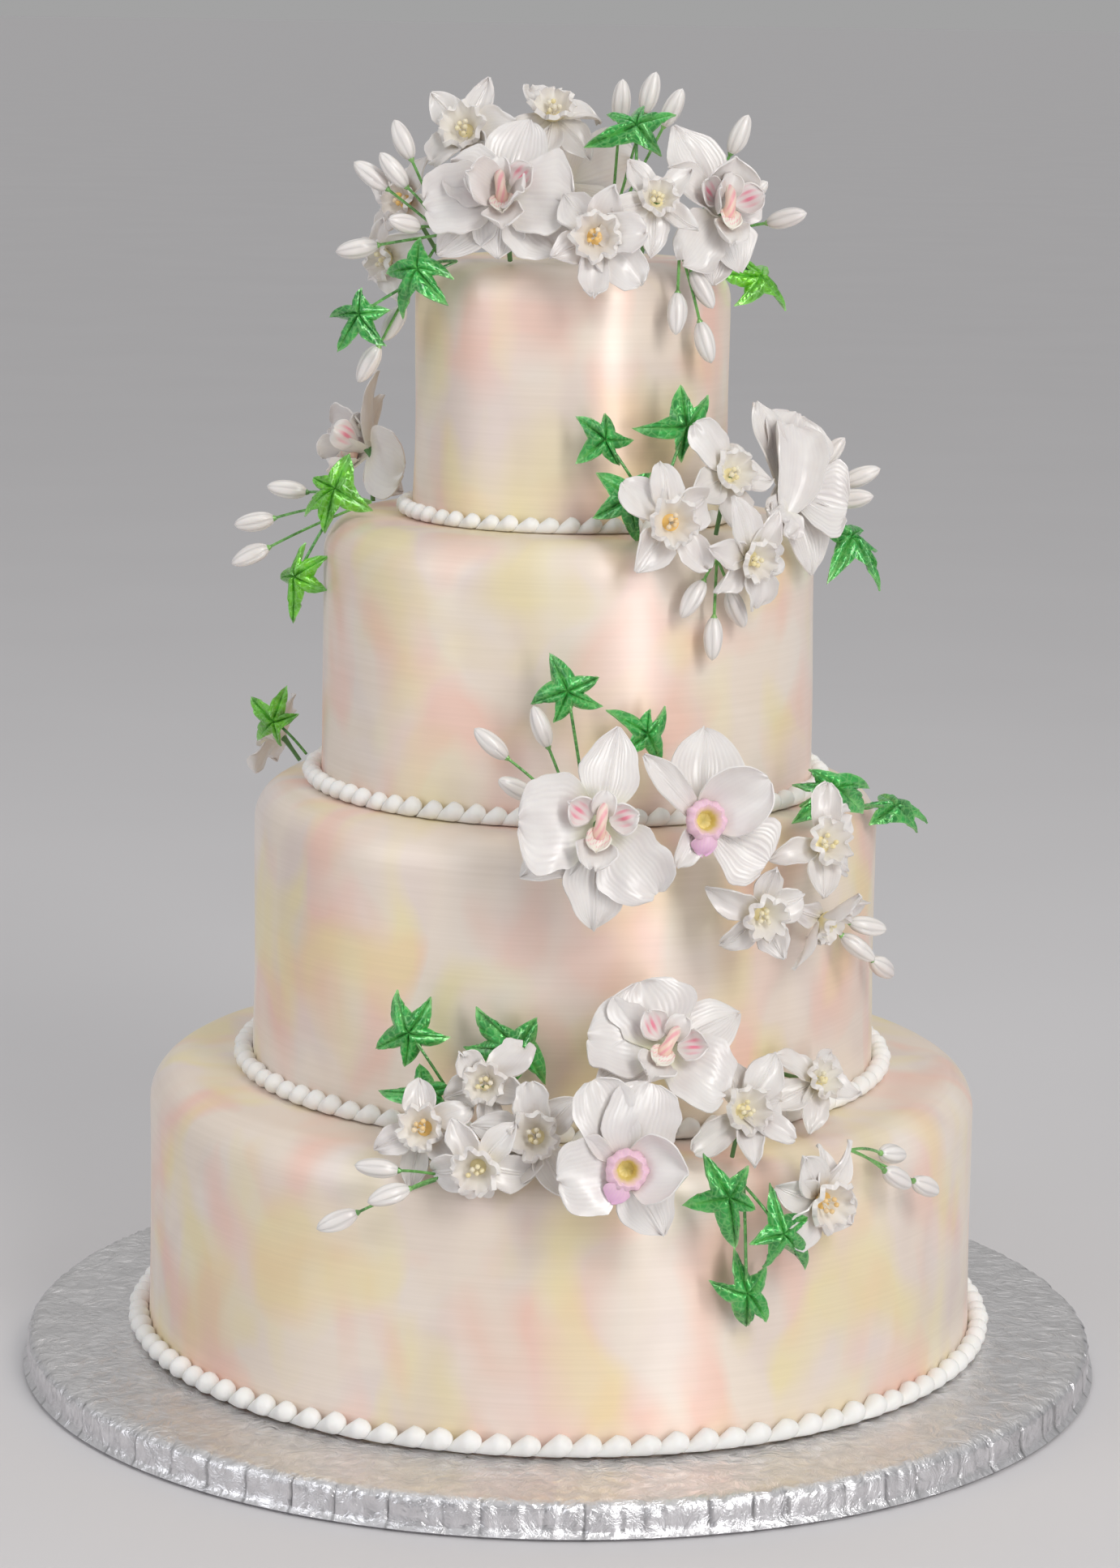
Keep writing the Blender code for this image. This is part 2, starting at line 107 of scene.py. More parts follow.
DARK_SKY = (0.10, 0.10, 0.11, 1.0)


def light_studio():
    """Each lamp has a name, a place, a width and height, a power in watts and a colour."""
    for name, place, size, power, colour in LAMPS:
        lamp = bpy.data.lights.new(name, "AREA")
        lamp.shape = "RECTANGLE"
        lamp.size, lamp.size_y = size
        lamp.energy = power
        lamp.color = colour
        holder = bpy.data.objects.new(name, lamp)
        away = Vector(place) - LAMP_TARGET
        holder.matrix_world = Matrix.Translation(place) @ away.to_track_quat("Z", "Y").to_matrix().to_4x4()
        bpy.context.scene.collection.objects.link(holder)
    bpy.context.scene.view_settings.view_transform = "Standard"


def sky_part(net, direction, stops):
    """A grey that depends on one axis of the viewing direction, from 0 at -1 to 1 at +1."""
    spread = net.nodes.new("ShaderNodeMapRange")
    spread.inputs["From Min"].default_value = -1.0
    net.links.new(direction, spread.inputs["Value"])
    ramp = net.nodes.new("ShaderNodeValToRGB")
    while len(ramp.color_ramp.elements) < len(stops):
        ramp.color_ramp.elements.new(0.5)
    for element, (place, value) in zip(ramp.color_ramp.elements, stops):
        element.position = place
        element.color = (value, value, value, 1.0)
    net.links.new(spread.outputs["Result"], ramp.inputs["Fac"])
    return ramp.outputs["Color"]


def paint_sky():
    """A pale sky with one dark band, low down behind the camera."""
    world = bpy.data.worlds.new("studio")
    world.use_nodes = True
    net = world.node_tree
    place = net.nodes.new("ShaderNodeTexCoord")
    axes = net.nodes.new("ShaderNodeSeparateXYZ")
    net.links.new(place.outputs["Generated"], axes.inputs["Vector"])
    dark = net.nodes.new("ShaderNodeMath")
    dark.operation = "MULTIPLY"
    net.links.new(sky_part(net, axes.outputs["Z"], DARK_BAND), dark.inputs[0])
    net.links.new(sky_part(net, axes.outputs["Y"], DARK_SIDE), dark.inputs[1])
    mix = net.nodes.new("ShaderNodeMix")
    mix.data_type = "RGBA"
    mix.inputs["B"].default_value = DARK_SKY
    net.links.new(dark.outputs["Value"], mix.inputs["Factor"])
    net.links.new(sky_part(net, axes.outputs["Z"], SKY_STOPS), mix.inputs["A"])
    net.links.new(mix.outputs["Result"], net.nodes["Background"].inputs["Color"])
    bpy.context.scene.world = world


light_studio()
paint_sky()
print("lamps:", [name for name, *_ in LAMPS])

# %% [markdown]
# ## A kit for building meshes
# Petals, leaves and piped icing are all curved skins. Each one is worked out as a
# grid of points, row by row, because a grid can be bent, cupped and ruffled with a
# few lines of arithmetic. The grid then gets a front, a back and a rim, so that it
# is a real thin solid. Several such shapes are gathered in one piece, and each
# point carries a paint colour that the material reads. The same skins could be pulled
# by hand in sculpt mode, but a formula gives every petal its own curl and can be changed.

# %% Gather shapes in one piece
class Gathering:
    """The points, faces, paint and finish numbers of one piece while it grows."""

    def __init__(self):
        self.points = []
        self.faces = []
        self.finishes = []
        self.paint = []
        self.count = 0

    def add(self, points, faces, paint, finish=0):
        """Take one more shape in, with one paint for all its points or one for each."""
        points = np.asarray(points, float).reshape(-1, 3)
        paint = np.asarray(paint, float)
        if paint.ndim == 1:
            paint = np.tile(paint, (len(points), 1))
        self.points.append(points)
        self.paint.append(paint.reshape(-1, 3))
        self.faces += [tuple(corner + self.count for corner in face) for face in faces]
        self.finishes += [finish] * len(faces)
        self.count += len(points)

    def make(self, name, materials, sharp=50):
        """The finished piece, smooth except at edges that turn by more than sharp degrees."""
        mesh = bpy.data.meshes.new(name)
        mesh.from_pydata(np.concatenate(self.points).tolist(), [], self.faces)
        for material in materials:
            mesh.materials.append(material)
        mesh.polygons.foreach_set("material_index", self.finishes)
        colours = np.concatenate(self.paint)
        layer = mesh.color_attributes.new("paint", "FLOAT_COLOR", "POINT")
        rows = np.hstack([colours, np.ones((len(colours), 1))]).astype(np.float32)
        layer.data.foreach_set("color", rows.ravel())
        mesh.shade_smooth()
        mesh.set_sharp_from_angle(angle=math.radians(sharp))
        mesh.update()
        piece = bpy.data.objects.new(name, mesh)
        bpy.context.scene.collection.objects.link(piece)
        return piece


def finish_piece(piece, node):
    """The piece moves with the cake and stands for its plain solid."""
    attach(piece, "root")
    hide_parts(node)
    return piece


def grid_faces(rows, columns, closed=False):
    """The four-cornered faces between the points of a grid. A closed grid goes right round."""
    across = columns if closed else columns - 1
    faces = []
    for row in range(rows - 1):
        here = row * columns
        above = here + columns
        for column in range(across):
            beyond = (column + 1) % columns
            faces.append((here + column, here + beyond, above + beyond, above + column))
    return faces


def grid_normals(grid, closed=False):
    """The direction that the skin faces at each point of a grid."""
    along = np.gradient(grid, axis=0)
    if closed:
        across = np.roll(grid, -1, axis=1) - np.roll(grid, 1, axis=1)
    else:
        across = np.gradient(grid, axis=1)
    normals = np.cross(across, along)
    return normals / np.maximum(np.linalg.norm(normals, axis=2, keepdims=True), 1e-12)


def thin_solid(grid, thickness, closed=False):
    """Front, back and rim of a curved skin, as points and faces."""
    rows, columns = grid.shape[:2]
    half = grid_normals(grid, closed) * np.asarray(thickness).reshape(-1, 1, 1) / 2
    points = np.concatenate([(grid + half).reshape(-1, 3), (grid - half).reshape(-1, 3)])
    size = rows * columns
    front = grid_faces(rows, columns, closed)
    faces = front + [tuple(corner + size for corner in reversed(face)) for face in front]
    last = (rows - 1) * columns
    if closed:
        loops = [list(range(columns)), [last + column for column in reversed(range(columns))]]
    else:
        loops = [list(range(columns - 1))
                 + [row * columns + columns - 1 for row in range(rows - 1)]
                 + [last + column for column in range(columns - 1, 0, -1)]
                 + [row * columns for row in range(rows - 1, 0, -1)]]
    for loop in loops:
        for here, there in zip(loop, loop[1:] + loop[:1]):
            faces.append((there, here, here + size, there + size))
    return points, faces


def smooth_curve(knots, places):
    """A soft curve through pairs of place and value, read at the places."""
    xs = np.array([knot[0] for knot in knots], float)
    ys = np.array([knot[1] for knot in knots], float)
    slopes = np.gradient(ys, xs)
    spot = np.clip(np.searchsorted(xs, places, side="right") - 1, 0, len(xs) - 2)
    step = xs[spot + 1] - xs[spot]
    share = (places - xs[spot]) / step
    left = (2 * share**3 - 3 * share**2 + 1) * ys[spot]
    left_slope = (share**3 - 2 * share**2 + share) * step * slopes[spot]
    right = (3 * share**2 - 2 * share**3) * ys[spot + 1]
    right_slope = (share**3 - share**2) * step * slopes[spot + 1]
    return left + left_slope + right + right_slope


def placed(points, matrix):
    """The points of a shape after the matrix has moved and turned it."""
    table = np.array(matrix)
    return np.asarray(points) @ table[:3, :3].T + table[:3, 3]


print("a test skin of 3 by 4 points has", len(grid_faces(3, 4)), "faces on its front")

# %% [markdown]
# ## Rods and round forms
# Wires, stamens and the little column of an orchid are rods along a path. Beads and
# buds are round forms on a straight axis. Both are closed grids: rings of points
# with a cap at each end. A curve with a bevel would give the same rods, but it would
# have to be turned into a mesh before it could be fused with its flower.

# %% Rods and round forms
def ring_solid(rings):
    """A closed body from rings of points, capped at both ends."""
    rings = np.asarray(rings)
    count, sides = rings.shape[:2]
    faces = grid_faces(count, sides, closed=True)
    faces.append(tuple(reversed(range(sides))))
    faces.append(tuple((count - 1) * sides + side for side in range(sides)))
    return rings.reshape(-1, 3), faces


def rod(path, radii, sides=6):
    """A rod along the path, of one radius or of one for each point of the path."""
    path = [Vector(point) for point in path]
    radii = [radii] * len(path) if isinstance(radii, float) else radii
    rings = []
    beside = None
    for number, point in enumerate(path):
        ahead = path[min(number + 1, len(path) - 1)] - path[max(number - 1, 0)]
        ahead.normalize()
        if beside is None:
            beside = ahead.orthogonal().normalized()
        beside = (beside - ahead * beside.dot(ahead)).normalized()
        third = ahead.cross(beside)
        ring = []
        for side in range(sides):
            angle = math.tau * side / sides
            ring.append(tuple(point + (beside * math.cos(angle) + third * math.sin(angle)) * radii[number]))
        rings.append(ring)
    return ring_solid(rings)


def bow(start, end, sag, steps=8):
    """Points along a gently bent wire from start to end."""
    start, end, sag = Vector(start), Vector(end), Vector(sag)
    points = []
    for step in range(steps + 1):
        share = step / steps
        points.append(start.lerp(end, share) + sag * (4 * share * (1 - share)))
    return points


def flower_matrix(place, turn, tilt):
    """Local +Z looks out of the flower and local +Y is its top. A turn is to the right, a tilt is up."""
    facing = Matrix.Rotation(math.radians(turn), 4, "Z") @ Matrix.Rotation(math.radians(90 - tilt), 4, "X")
    return Matrix.Translation(Vector(place) * MM) @ facing


print("a test rod has", len(rod([(0, 0, 0), (0, 0, 1)], 0.1)[1]), "faces")

# %% [markdown]
# ## Finishes
# Sugar work has a few finishes. Fondant that was brushed with pearl dust has a satin
# gloss and soft clouds of colour. Royal icing is matte. Petals are satin and let a
# little light through. Leaves are glossy. The board is wrapped in metal foil. Each
# finish is a small net of nodes on one shader, and what varies over the surface
# comes from noise or from the paint on the points. Painted pictures would do it too,
# but noise needs no unwrapping and stays sharp at any distance.

# %% Helpers for finishes
PASTE_GLOW = (0.004, 0.003, 0.0022)


def new_finish(name, roughness, metallic=0.0, coat=0.0, coat_roughness=0.2, through=0.0, sheen=0.0):
    """A material with its net and its shader. Through is how much light passes into the paste."""
    material = bpy.data.materials.new(name)
    material.use_nodes = True
    net = material.node_tree
    shader = net.nodes["Principled BSDF"]
    shader.inputs["Roughness"].default_value = roughness
    shader.inputs["Metallic"].default_value = metallic
    shader.inputs["Coat Weight"].default_value = coat
    shader.inputs["Coat Roughness"].default_value = coat_roughness
    shader.inputs["Sheen Weight"].default_value = sheen
    if through:
        shader.inputs["Subsurface Weight"].default_value = through
        shader.inputs["Subsurface Radius"].default_value = PASTE_GLOW
        shader.inputs["Subsurface Scale"].default_value = 1.0
    return material, net, shader


def add_noise(net, scale, stretch=(1, 1, 1), detail=2.0, rough=0.5, distortion=0.0, shift=0.0):
    """Noise in the piece's own space. A larger scale is finer, a larger stretch squeezes that axis."""
    place = net.nodes.new("ShaderNodeTexCoord")
    mapping = net.nodes.new("ShaderNodeMapping")
    mapping.inputs["Location"].default_value = (shift, shift * 0.7, shift * 0.4)
    mapping.inputs["Scale"].default_value = stretch
    texture = net.nodes.new("ShaderNodeTexNoise")
    texture.inputs["Scale"].default_value = scale
    texture.inputs["Detail"].default_value = detail
    texture.inputs["Roughness"].default_value = rough
    texture.inputs["Distortion"].default_value = distortion
    net.links.new(place.outputs["Object"], mapping.inputs["Vector"])
    net.links.new(mapping.outputs["Vector"], texture.inputs["Vector"])
    return texture.outputs["Fac"]


def add_ramp(net, factor, stops):
    """Colours in place of grey values, from pairs of a value and its colour."""
    ramp = net.nodes.new("ShaderNodeValToRGB")
    while len(ramp.color_ramp.elements) < len(stops):
        ramp.color_ramp.elements.new(0.5)
    for element, (place, colour) in zip(ramp.color_ramp.elements, stops):
        element.position = place
        element.color = (colour[0], colour[1], colour[2], 1.0)
    net.links.new(factor, ramp.inputs["Fac"])
    return ramp.outputs["Color"]


def add_mix(net, factor, first, second, kind="MIX"):
    """Two colours mixed. Each input is a socket to link or a constant to set."""
    mix = net.nodes.new("ShaderNodeMix")
    mix.data_type = "RGBA"
    mix.blend_type = kind
    for word, value in (("Factor", factor), ("A", first), ("B", second)):
        socket = mix.inputs[word]
        if isinstance(value, bpy.types.NodeSocket):
            net.links.new(value, socket)
        elif isinstance(value, tuple):
            socket.default_value = (*value, 1.0)
        else:
            socket.default_value = value
    return mix.outputs["Result"]


def add_bump(net, shader, height, strength, distance):
    """Fine relief from a height that runs from 0 to 1, as deep as the distance."""
    bump = net.nodes.new("ShaderNodeBump")
    bump.inputs["Strength"].default_value = strength
    bump.inputs["Distance"].default_value = distance
    net.links.new(height, bump.inputs["Height"])
    net.links.new(bump.outputs["Normal"], shader.inputs["Normal"])


def add_paint(net):
    """The paint colour that the points carry."""
    paint = net.nodes.new("ShaderNodeAttribute")
    paint.attribute_name = "paint"
    return paint.outputs["Color"]


print("light passes up to", round(max(PASTE_GLOW) / MM), "mm into the paste")

# %% [markdown]
# ## Pearl fondant
# The tiers were covered with cream fondant and then brushed with dusts of peach,
# pale yellow, lavender and white, in soft clouds with faint level brush lines. Noise
# that is stretched upwards gives the clouds, one for each dust. Noise that is squeezed
# upwards gives the brush lines, which go into the colour and the relief. Pearl dust is
# made of tiny mirrors, so the finish is a little metallic. The brush went round the
# tiers, and such fine lines draw every light out into an upright band of gloss. Real
# lines as fine as that would be too small to render, so the shader's anisotropy does it.

# %% Mix the fondant
CREAM = (0.88, 0.76, 0.65)
LAVENDER_DUST = (0.74, 0.61, 0.58)
PEACH_DUST = (0.93, 0.54, 0.43)
YELLOW_DUST = (0.91, 0.79, 0.35)
WHITE_DUST = (0.95, 0.90, 0.87)
DUSTS = ((LAVENDER_DUST, 0.50, 12.9), (PEACH_DUST, 0.62, 7.7),
         (YELLOW_DUST, 0.54, 3.1), (WHITE_DUST, 0.28, 21.3))
CLOUD_STRETCH = (1.0, 1.0, 0.72)
BRUSH_STRETCH = (1.0, 1.0, 90.0)
BLACK = (0.0, 0.0, 0.0)
WHITE = (1.0, 1.0, 1.0)


def fondant_finish():
    """Each dust is a colour, how strongly it was brushed on, and where its clouds begin."""
    material, net, shader = new_finish("pearl_fondant", 0.42, metallic=0.10, coat=0.15,
                                       coat_roughness=0.30)
    shader.inputs["Specular IOR Level"].default_value = 1.0
    shader.inputs["Anisotropic"].default_value = 0.75
    shader.inputs["Anisotropic Rotation"].default_value = 0.25
    colour = CREAM
    for dust, strength, shift in DUSTS:
        clouds = add_noise(net, 21.0, CLOUD_STRETCH, 1.5, 0.45, 0.5, shift)
        amount = add_ramp(net, clouds, ((0.48, BLACK), (0.66, (strength, strength, strength))))
        colour = add_mix(net, amount, colour, dust)
    lines = add_noise(net, 7.0, BRUSH_STRETCH, 3.0, 0.6)
    streaks = add_ramp(net, lines, ((0.35, (0.955, 0.95, 0.94)), (0.65, WHITE)))
    net.links.new(add_mix(net, 0.8, colour, streaks, "MULTIPLY"), shader.inputs["Base Color"])
    add_bump(net, shader, lines, 0.10, 0.0003)
    return material


fondant = fondant_finish()
print("mixed", fondant.name, "with", len(DUSTS), "dusts")

# %% [markdown]
# ## The tiers
# Each tier is a round cake with a softly rounded top edge. Its outline is turned
# round the axis, as a potter would. A cylinder with a bevel would give the same form,
# but a turned outline also lets the wall waver: fondant that is smoothed by hand is
# never quite true, so it rises and falls by part of a millimetre. The foot spreads a
# little where it meets what the tier stands on.

# %% Turn the tiers
GAP = 0.3 * MM
BOARD_RADIUS = 272.5 * MM
BOARD_THICKNESS = 18.5 * MM
TIER_RADII = (208.0 * MM, 155.5 * MM, 121.5 * MM, 77.0 * MM)
TIER_HEIGHTS = (135.5 * MM, 143.5 * MM, 133.5 * MM, 126.0 * MM)
TIER_ROUND = 19.0 * MM
TIER_FLARE = 1.5 * MM
TIER_FOOT = 4 * MM
TIER_SIDES = 200
TIER_WAVER = 0.9 * MM
WALL_STEPS = 12
ROUND_STEPS = 10


def tier_floors():
    """The heights at which the tiers stand, one on the other."""
    floors = []
    height = BOARD_THICKNESS
    for tier_height in TIER_HEIGHTS:
        floors.append(height)
        height += tier_height
    return floors


def tier_outline(reach, floor, top):
    """Outer distance and height of the tier's skin, from the foot up and in to the middle."""
    outline = [(reach + TIER_FLARE, floor + GAP), (reach + TIER_FLARE * 0.8, floor + 2 * MM)]
    for step in range(WALL_STEPS + 1):
        share = step / WALL_STEPS
        spread = TIER_FLARE * (1 - share) ** 3 * 0.6
        outline.append((reach + spread, floor + TIER_FOOT + (top - TIER_ROUND - floor - TIER_FOOT) * share))
    for step in range(1, ROUND_STEPS + 1):
        angle = math.radians(90) * step / ROUND_STEPS
        outline.append((reach - TIER_ROUND * (1 - math.cos(angle)),
                        top - TIER_ROUND * (1 - math.sin(angle))))
    for share in (0.85, 0.6, 0.3, 0.05):
        outline.append(((reach - TIER_ROUND) * share, top))
    return outline


def turn_tier(number, floor):
    """One tier from its outline, with a waver that grows from nothing at the foot."""
    reach = TIER_RADII[number]
    top = floor + TIER_HEIGHTS[number]
    rings = []
    for distance, height in tier_outline(reach, floor, top):
        ring = []
        for side in range(TIER_SIDES):
            angle = math.tau * side / TIER_SIDES
            spot = Vector((math.cos(angle) * distance, math.sin(angle) * distance, height))
            waver = noise.noise(spot * 14 + Vector((0, 0, number * 7.3))) * TIER_WAVER
            free = min(1.0, (height - floor) / (25 * MM))
            ring.append((spot.x * (1 + waver * free / reach), spot.y * (1 + waver * free / reach),
                         height - max(0.0, waver) * 0.5 * free))
        rings.append(ring)
    tier = Gathering()
    tier.add(*ring_solid(rings), CREAM)
    piece = tier.make("fondant_tier_" + str(number + 1), [fondant])
    return finish_piece(piece, "tier_" + str(number + 1))


for number, floor in enumerate(tier_floors()):
    tier = turn_tier(number, floor)
    wide = round(tier.dimensions.x / MM)
    high = round(tier.dimensions.z / MM)
    print(tier.name, "is", wide, "mm wide and", high, "mm high")

# %% [markdown]
# ## The foil-wrapped board
# The drum under the cake is wrapped in silver foil. The foil is flat but finely
# wrinkled on top, gathered into upright creases where it folds over the rim, and a
# thin lip shows at the bottom. The board is turned like a tier, and each ring of its
# points is pushed in and out: gently by noise on top, and on the rim in leaning panels
# with a sharp fold between two, where the colour is darkened as painted shade. A cloth
# simulation could fold the foil too, but it would be slow and come out another way each
# time. The finest wrinkles are relief in the finish, with patches of painted shade in
# its colour that stand in for the foil's uneven reflections.

# %% Wrap the board
FOIL_TOP = np.array((0.88, 0.86, 0.86))
FOIL_RIM = np.array((0.86, 0.85, 0.87))


def foil_finish():
    """Bare metal with wrinkles as relief and darker patches of painted shade in its colour, which stand in
    for the foil's uneven reflections.
    """
    material, net, shader = new_finish("silver_foil", 0.28, metallic=1.0)
    wrinkles = add_noise(net, 95.0, detail=5.0, rough=0.62, distortion=1.4)
    # painted shade: darker patches in the foil's colour stand in for its uneven reflections
    tone = add_noise(net, 90.0, detail=4.0, rough=0.6, distortion=1.0)
    shade = add_ramp(net, tone, ((0.35, (0.86, 0.86, 0.86)), (0.62, WHITE)))
    net.links.new(add_mix(net, 1.0, add_paint(net), shade, "MULTIPLY"), shader.inputs["Base Color"])
    add_bump(net, shader, wrinkles, 0.75, 0.0022)
    return material


FOIL_PANEL = 24.0 * MM
FOLD_SHARE = 0.10


def rim_fold(angle):
    """Depth of the rim's foil in millimetres, and how near a fold is, from 0 to 1."""
    count = round(math.tau * BOARD_RADIUS / FOIL_PANEL)
    place = angle / math.tau * count
    place += 0.45 * noise.noise(Vector((math.cos(angle) * 12, math.sin(angle) * 12, 3.0)))
    along = place - math.floor(place)
    fold = max(0.0, abs(2 * along - 1) - (1 - FOLD_SHARE)) / FOLD_SHARE
    crinkle = abs(noise.noise(Vector((math.cos(angle) * 50, math.sin(angle) * 50, 9.0))))
    return along * 0.7 + fold + crinkle, fold


BOARD_SIDES = 1300
BOARD_OUTLINE = [(0.0, 0.0), (0.97, 0.0), (0.996, 0.4), (1.0, 1.2), (0.996, 2.2), (0.993, 3.6), (0.994, 6.0),
                 (0.994, 9.0), (0.994, 12.0), (0.993, 14.6), (0.990, 16.4), (0.984, 17.7), (0.975, 18.3)]
BOARD_OUTLINE += [(share, 18.45) for share in np.linspace(0.965, 0.74, 14)]
BOARD_OUTLINE += [(0.4, 18.2), (0.002, 18.2)]


def foil_point(angle, depth, distance, height):
    """A point of the foil. The distance is a share of the radius, the rest is in millimetres."""
    reach = distance * BOARD_RADIUS
    rise = height * MM
    if 3.0 < height < 18.35:
        crumple = noise.noise(Vector((math.cos(angle) * 70, math.sin(angle) * 70, height * 0.25)))
        reach -= (depth + abs(crumple) * 1.2) * MM * min(1.0, (height - 2) / 4)
    if height > 15 and distance > 0.74:
        spot = Vector((math.cos(angle) * reach * 60, math.sin(angle) * reach * 60, 2.0))
        pleat = noise.noise(Vector((math.cos(angle) * 26, math.sin(angle) * 26, distance * 3)))
        gather = abs(pleat) * 1.3 * max(0.0, (distance - 0.84) / 0.16)
        rise -= (0.35 + noise.noise(spot) * 0.35 + gather) * MM
    reach = max(reach, 0.1 * MM)
    return math.cos(angle) * reach, math.sin(angle) * reach, min(rise, BOARD_THICKNESS)


def wrap_board():
    """The board from its rings. The folds of the rim are painted darker, as painted shade in the creases."""
    angles = [math.tau * side / BOARD_SIDES for side in range(BOARD_SIDES)]
    folds = [rim_fold(angle) for angle in angles]
    rings = []
    paint = []
    for distance, height in BOARD_OUTLINE:
        rings.append([foil_point(angle, depth, distance, height)
                      for angle, (depth, fold) in zip(angles, folds)])
        # painted shade: the rim's colour darkens near each fold
        paint += [FOIL_TOP if height > 17 else FOIL_RIM * (1 - 0.6 * min(1.0, fold))
                  for depth, fold in folds]
    board = Gathering()
    board.add(*ring_solid(rings), np.array(paint))
    piece = board.make("foil_board", [foil_finish()], sharp=35)
    return finish_piece(piece, "board")


board = wrap_board()
print("board has", len(board.data.polygons), "faces")

# %% [markdown]
# ## The piped beads
# A border of beads hides each joint. The icing is pressed out, the nozzle is pulled
# to one side and down, and the next bead covers the tail. So each bead is a drop
# with a fat round head and a tail that slides under its neighbour. No two are quite
# alike, so the size and the place change a little from one to the next. An array of
# one bead would be quicker to make, but its beads would all be the same.

# %% Pipe the beads
BEAD_PITCHES = (13.9 * MM, 12.3 * MM, 11.4 * MM, 10.2 * MM)
BEAD_HEIGHTS = (10.8 * MM, 9.9 * MM, 9.6 * MM, 8.2 * MM)
BEAD_HEAD = 0.36
BEAD_SHARES = (0.0, 0.015, 0.05, 0.11, 0.19, 0.28, 0.36, 0.46, 0.56, 0.66, 0.76, 0.86, 0.94, 1.0)
BEAD_SIDES = 14
ICING_WHITE = (0.85, 0.85, 0.8)


def icing_finish():
    """Matte white with a faint tone and a fine grain of sugar."""
    material, net, shader = new_finish("royal_icing", 0.55, coat=0.08, coat_roughness=0.4, through=0.12)
    tone = add_noise(net, 60.0)
    net.links.new(add_ramp(net, tone, ((0.3, (0.86, 0.85, 0.82)), (0.7, (0.91, 0.90, 0.88)))),
                  shader.inputs["Base Color"])
    add_bump(net, shader, add_noise(net, 500.0), 0.10, 0.0003)
    return material


def bead_rings(length, height):
    """Rings of one drop lying on its belly: x runs from the round head at 0 to the tip of the tail."""
    rings = []
    for share in BEAD_SHARES:
        if share < BEAD_HEAD:
            full = math.sqrt(max(0.0, 1 - ((share - BEAD_HEAD) / BEAD_HEAD) ** 2))
            rise = height / 2
        else:
            full = (1 - ((share - BEAD_HEAD) / (1 - BEAD_HEAD)) ** 1.05) ** 0.9
            rise = full * height / 2
        radius = max(0.02, full) * height / 2
        ring = []
        for side in range(BEAD_SIDES):
            angle = math.tau * side / BEAD_SIDES
            ring.append((share * length, math.cos(angle) * radius, math.sin(angle) * radius + rise))
        rings.append(ring)
    return rings


def pipe_border(number, floor, finish):
    """One border: each drop is bent round the tier and its tail is tucked in."""
    hand = random.Random(40 + number)
    height = BEAD_HEIGHTS[number]
    wall = TIER_RADII[number] + TIER_FLARE
    middle = wall + height * 0.42
    beads = round(math.tau * (wall + GAP + height / 2) / BEAD_PITCHES[number])
    pitch = math.tau * middle / beads
    border = Gathering()
    for bead in range(beads):
        angle = math.tau * (bead + hand.uniform(-0.06, 0.06)) / beads
        size = hand.uniform(0.93, 1.05)
        rings = np.array(bead_rings(pitch * hand.uniform(1.32, 1.44), height * size))
        along = rings[..., 0] - pitch * 0.55
        turn = angle - along / middle
        tuck = np.clip(along / pitch, 0, 1) * height * 0.05
        reach = middle + rings[..., 1] - tuck
        points = np.stack([np.sin(turn) * reach, -np.cos(turn) * reach,
                           floor + GAP + np.maximum(rings[..., 2] * 0.98, 0.0)], axis=-1)
        border.add(*ring_solid(points), ICING_WHITE)
    piece = border.make("bead_border_" + str(number + 1), [finish], sharp=75)
    return finish_piece(piece, "beads_" + str(number + 1))


icing = icing_finish()
for number, floor in enumerate(tier_floors()):
    border = pipe_border(number, floor, icing)
    print(border.name, "reaches", round(border.dimensions.x / 2 / MM, 1), "mm from the axis")

# %% [markdown]
# ## Sugar petals
# A sugar petal is cut from paste with a cutter, and each cutter has its outline. Here
# an outline is a few pairs: the share of the way from the claw to the tip, and the
# share of the full width there. Each form also has a way of growing. It lifts from the
# flower's face and bends on its way, both in degrees. Its sides cup. Its edge ruffles,
# in millimetres, and is ragged by a share of the width. It has grooves and a ridge
# along its middle, in millimetres. A petal drawn by hand would be one petal, while
# these rows can be mixed for a hundred and fifty.

# %% Name the forms of petal
OUTLINES = {
    "sepal": ((0, 0.20), (0.18, 0.52), (0.45, 1.0), (0.70, 0.86), (0.88, 0.46), (1.0, 0.06)),
    "petal": ((0, 0.14), (0.15, 0.46), (0.40, 0.90), (0.62, 1.0), (0.82, 0.90), (0.94, 0.62), (1.0, 0.24)),
    "shell": ((0, 0.16), (0.14, 0.56), (0.38, 0.95), (0.58, 1.0), (0.80, 0.86), (0.94, 0.52), (1.0, 0.16)),
    "fan": ((0, 0.10), (0.25, 0.42), (0.60, 0.84), (0.82, 1.0), (0.94, 0.80), (1.0, 0.40)),
    "strap": ((0, 0.44), (0.25, 0.80), (0.60, 1.0), (0.85, 0.80), (1.0, 0.14)),
    "point": ((0, 0.22), (0.20, 0.64), (0.45, 1.0), (0.70, 0.80), (0.88, 0.40), (1.0, 0.04)),
    "hood": ((0, 0.20), (0.15, 0.60), (0.40, 0.95), (0.62, 1.0), (0.84, 0.86), (0.95, 0.56), (1.0, 0.20)),
    "cloak": ((0, 0.26), (0.20, 0.66), (0.50, 1.0), (0.78, 0.96), (0.93, 0.74), (1.0, 0.46)),
}
OUTLINES["back"] = OUTLINES["hood"]
GROWTH_WORDS = ("lift", "bend", "cup", "ruffle", "ragged", "grooves", "ridge")
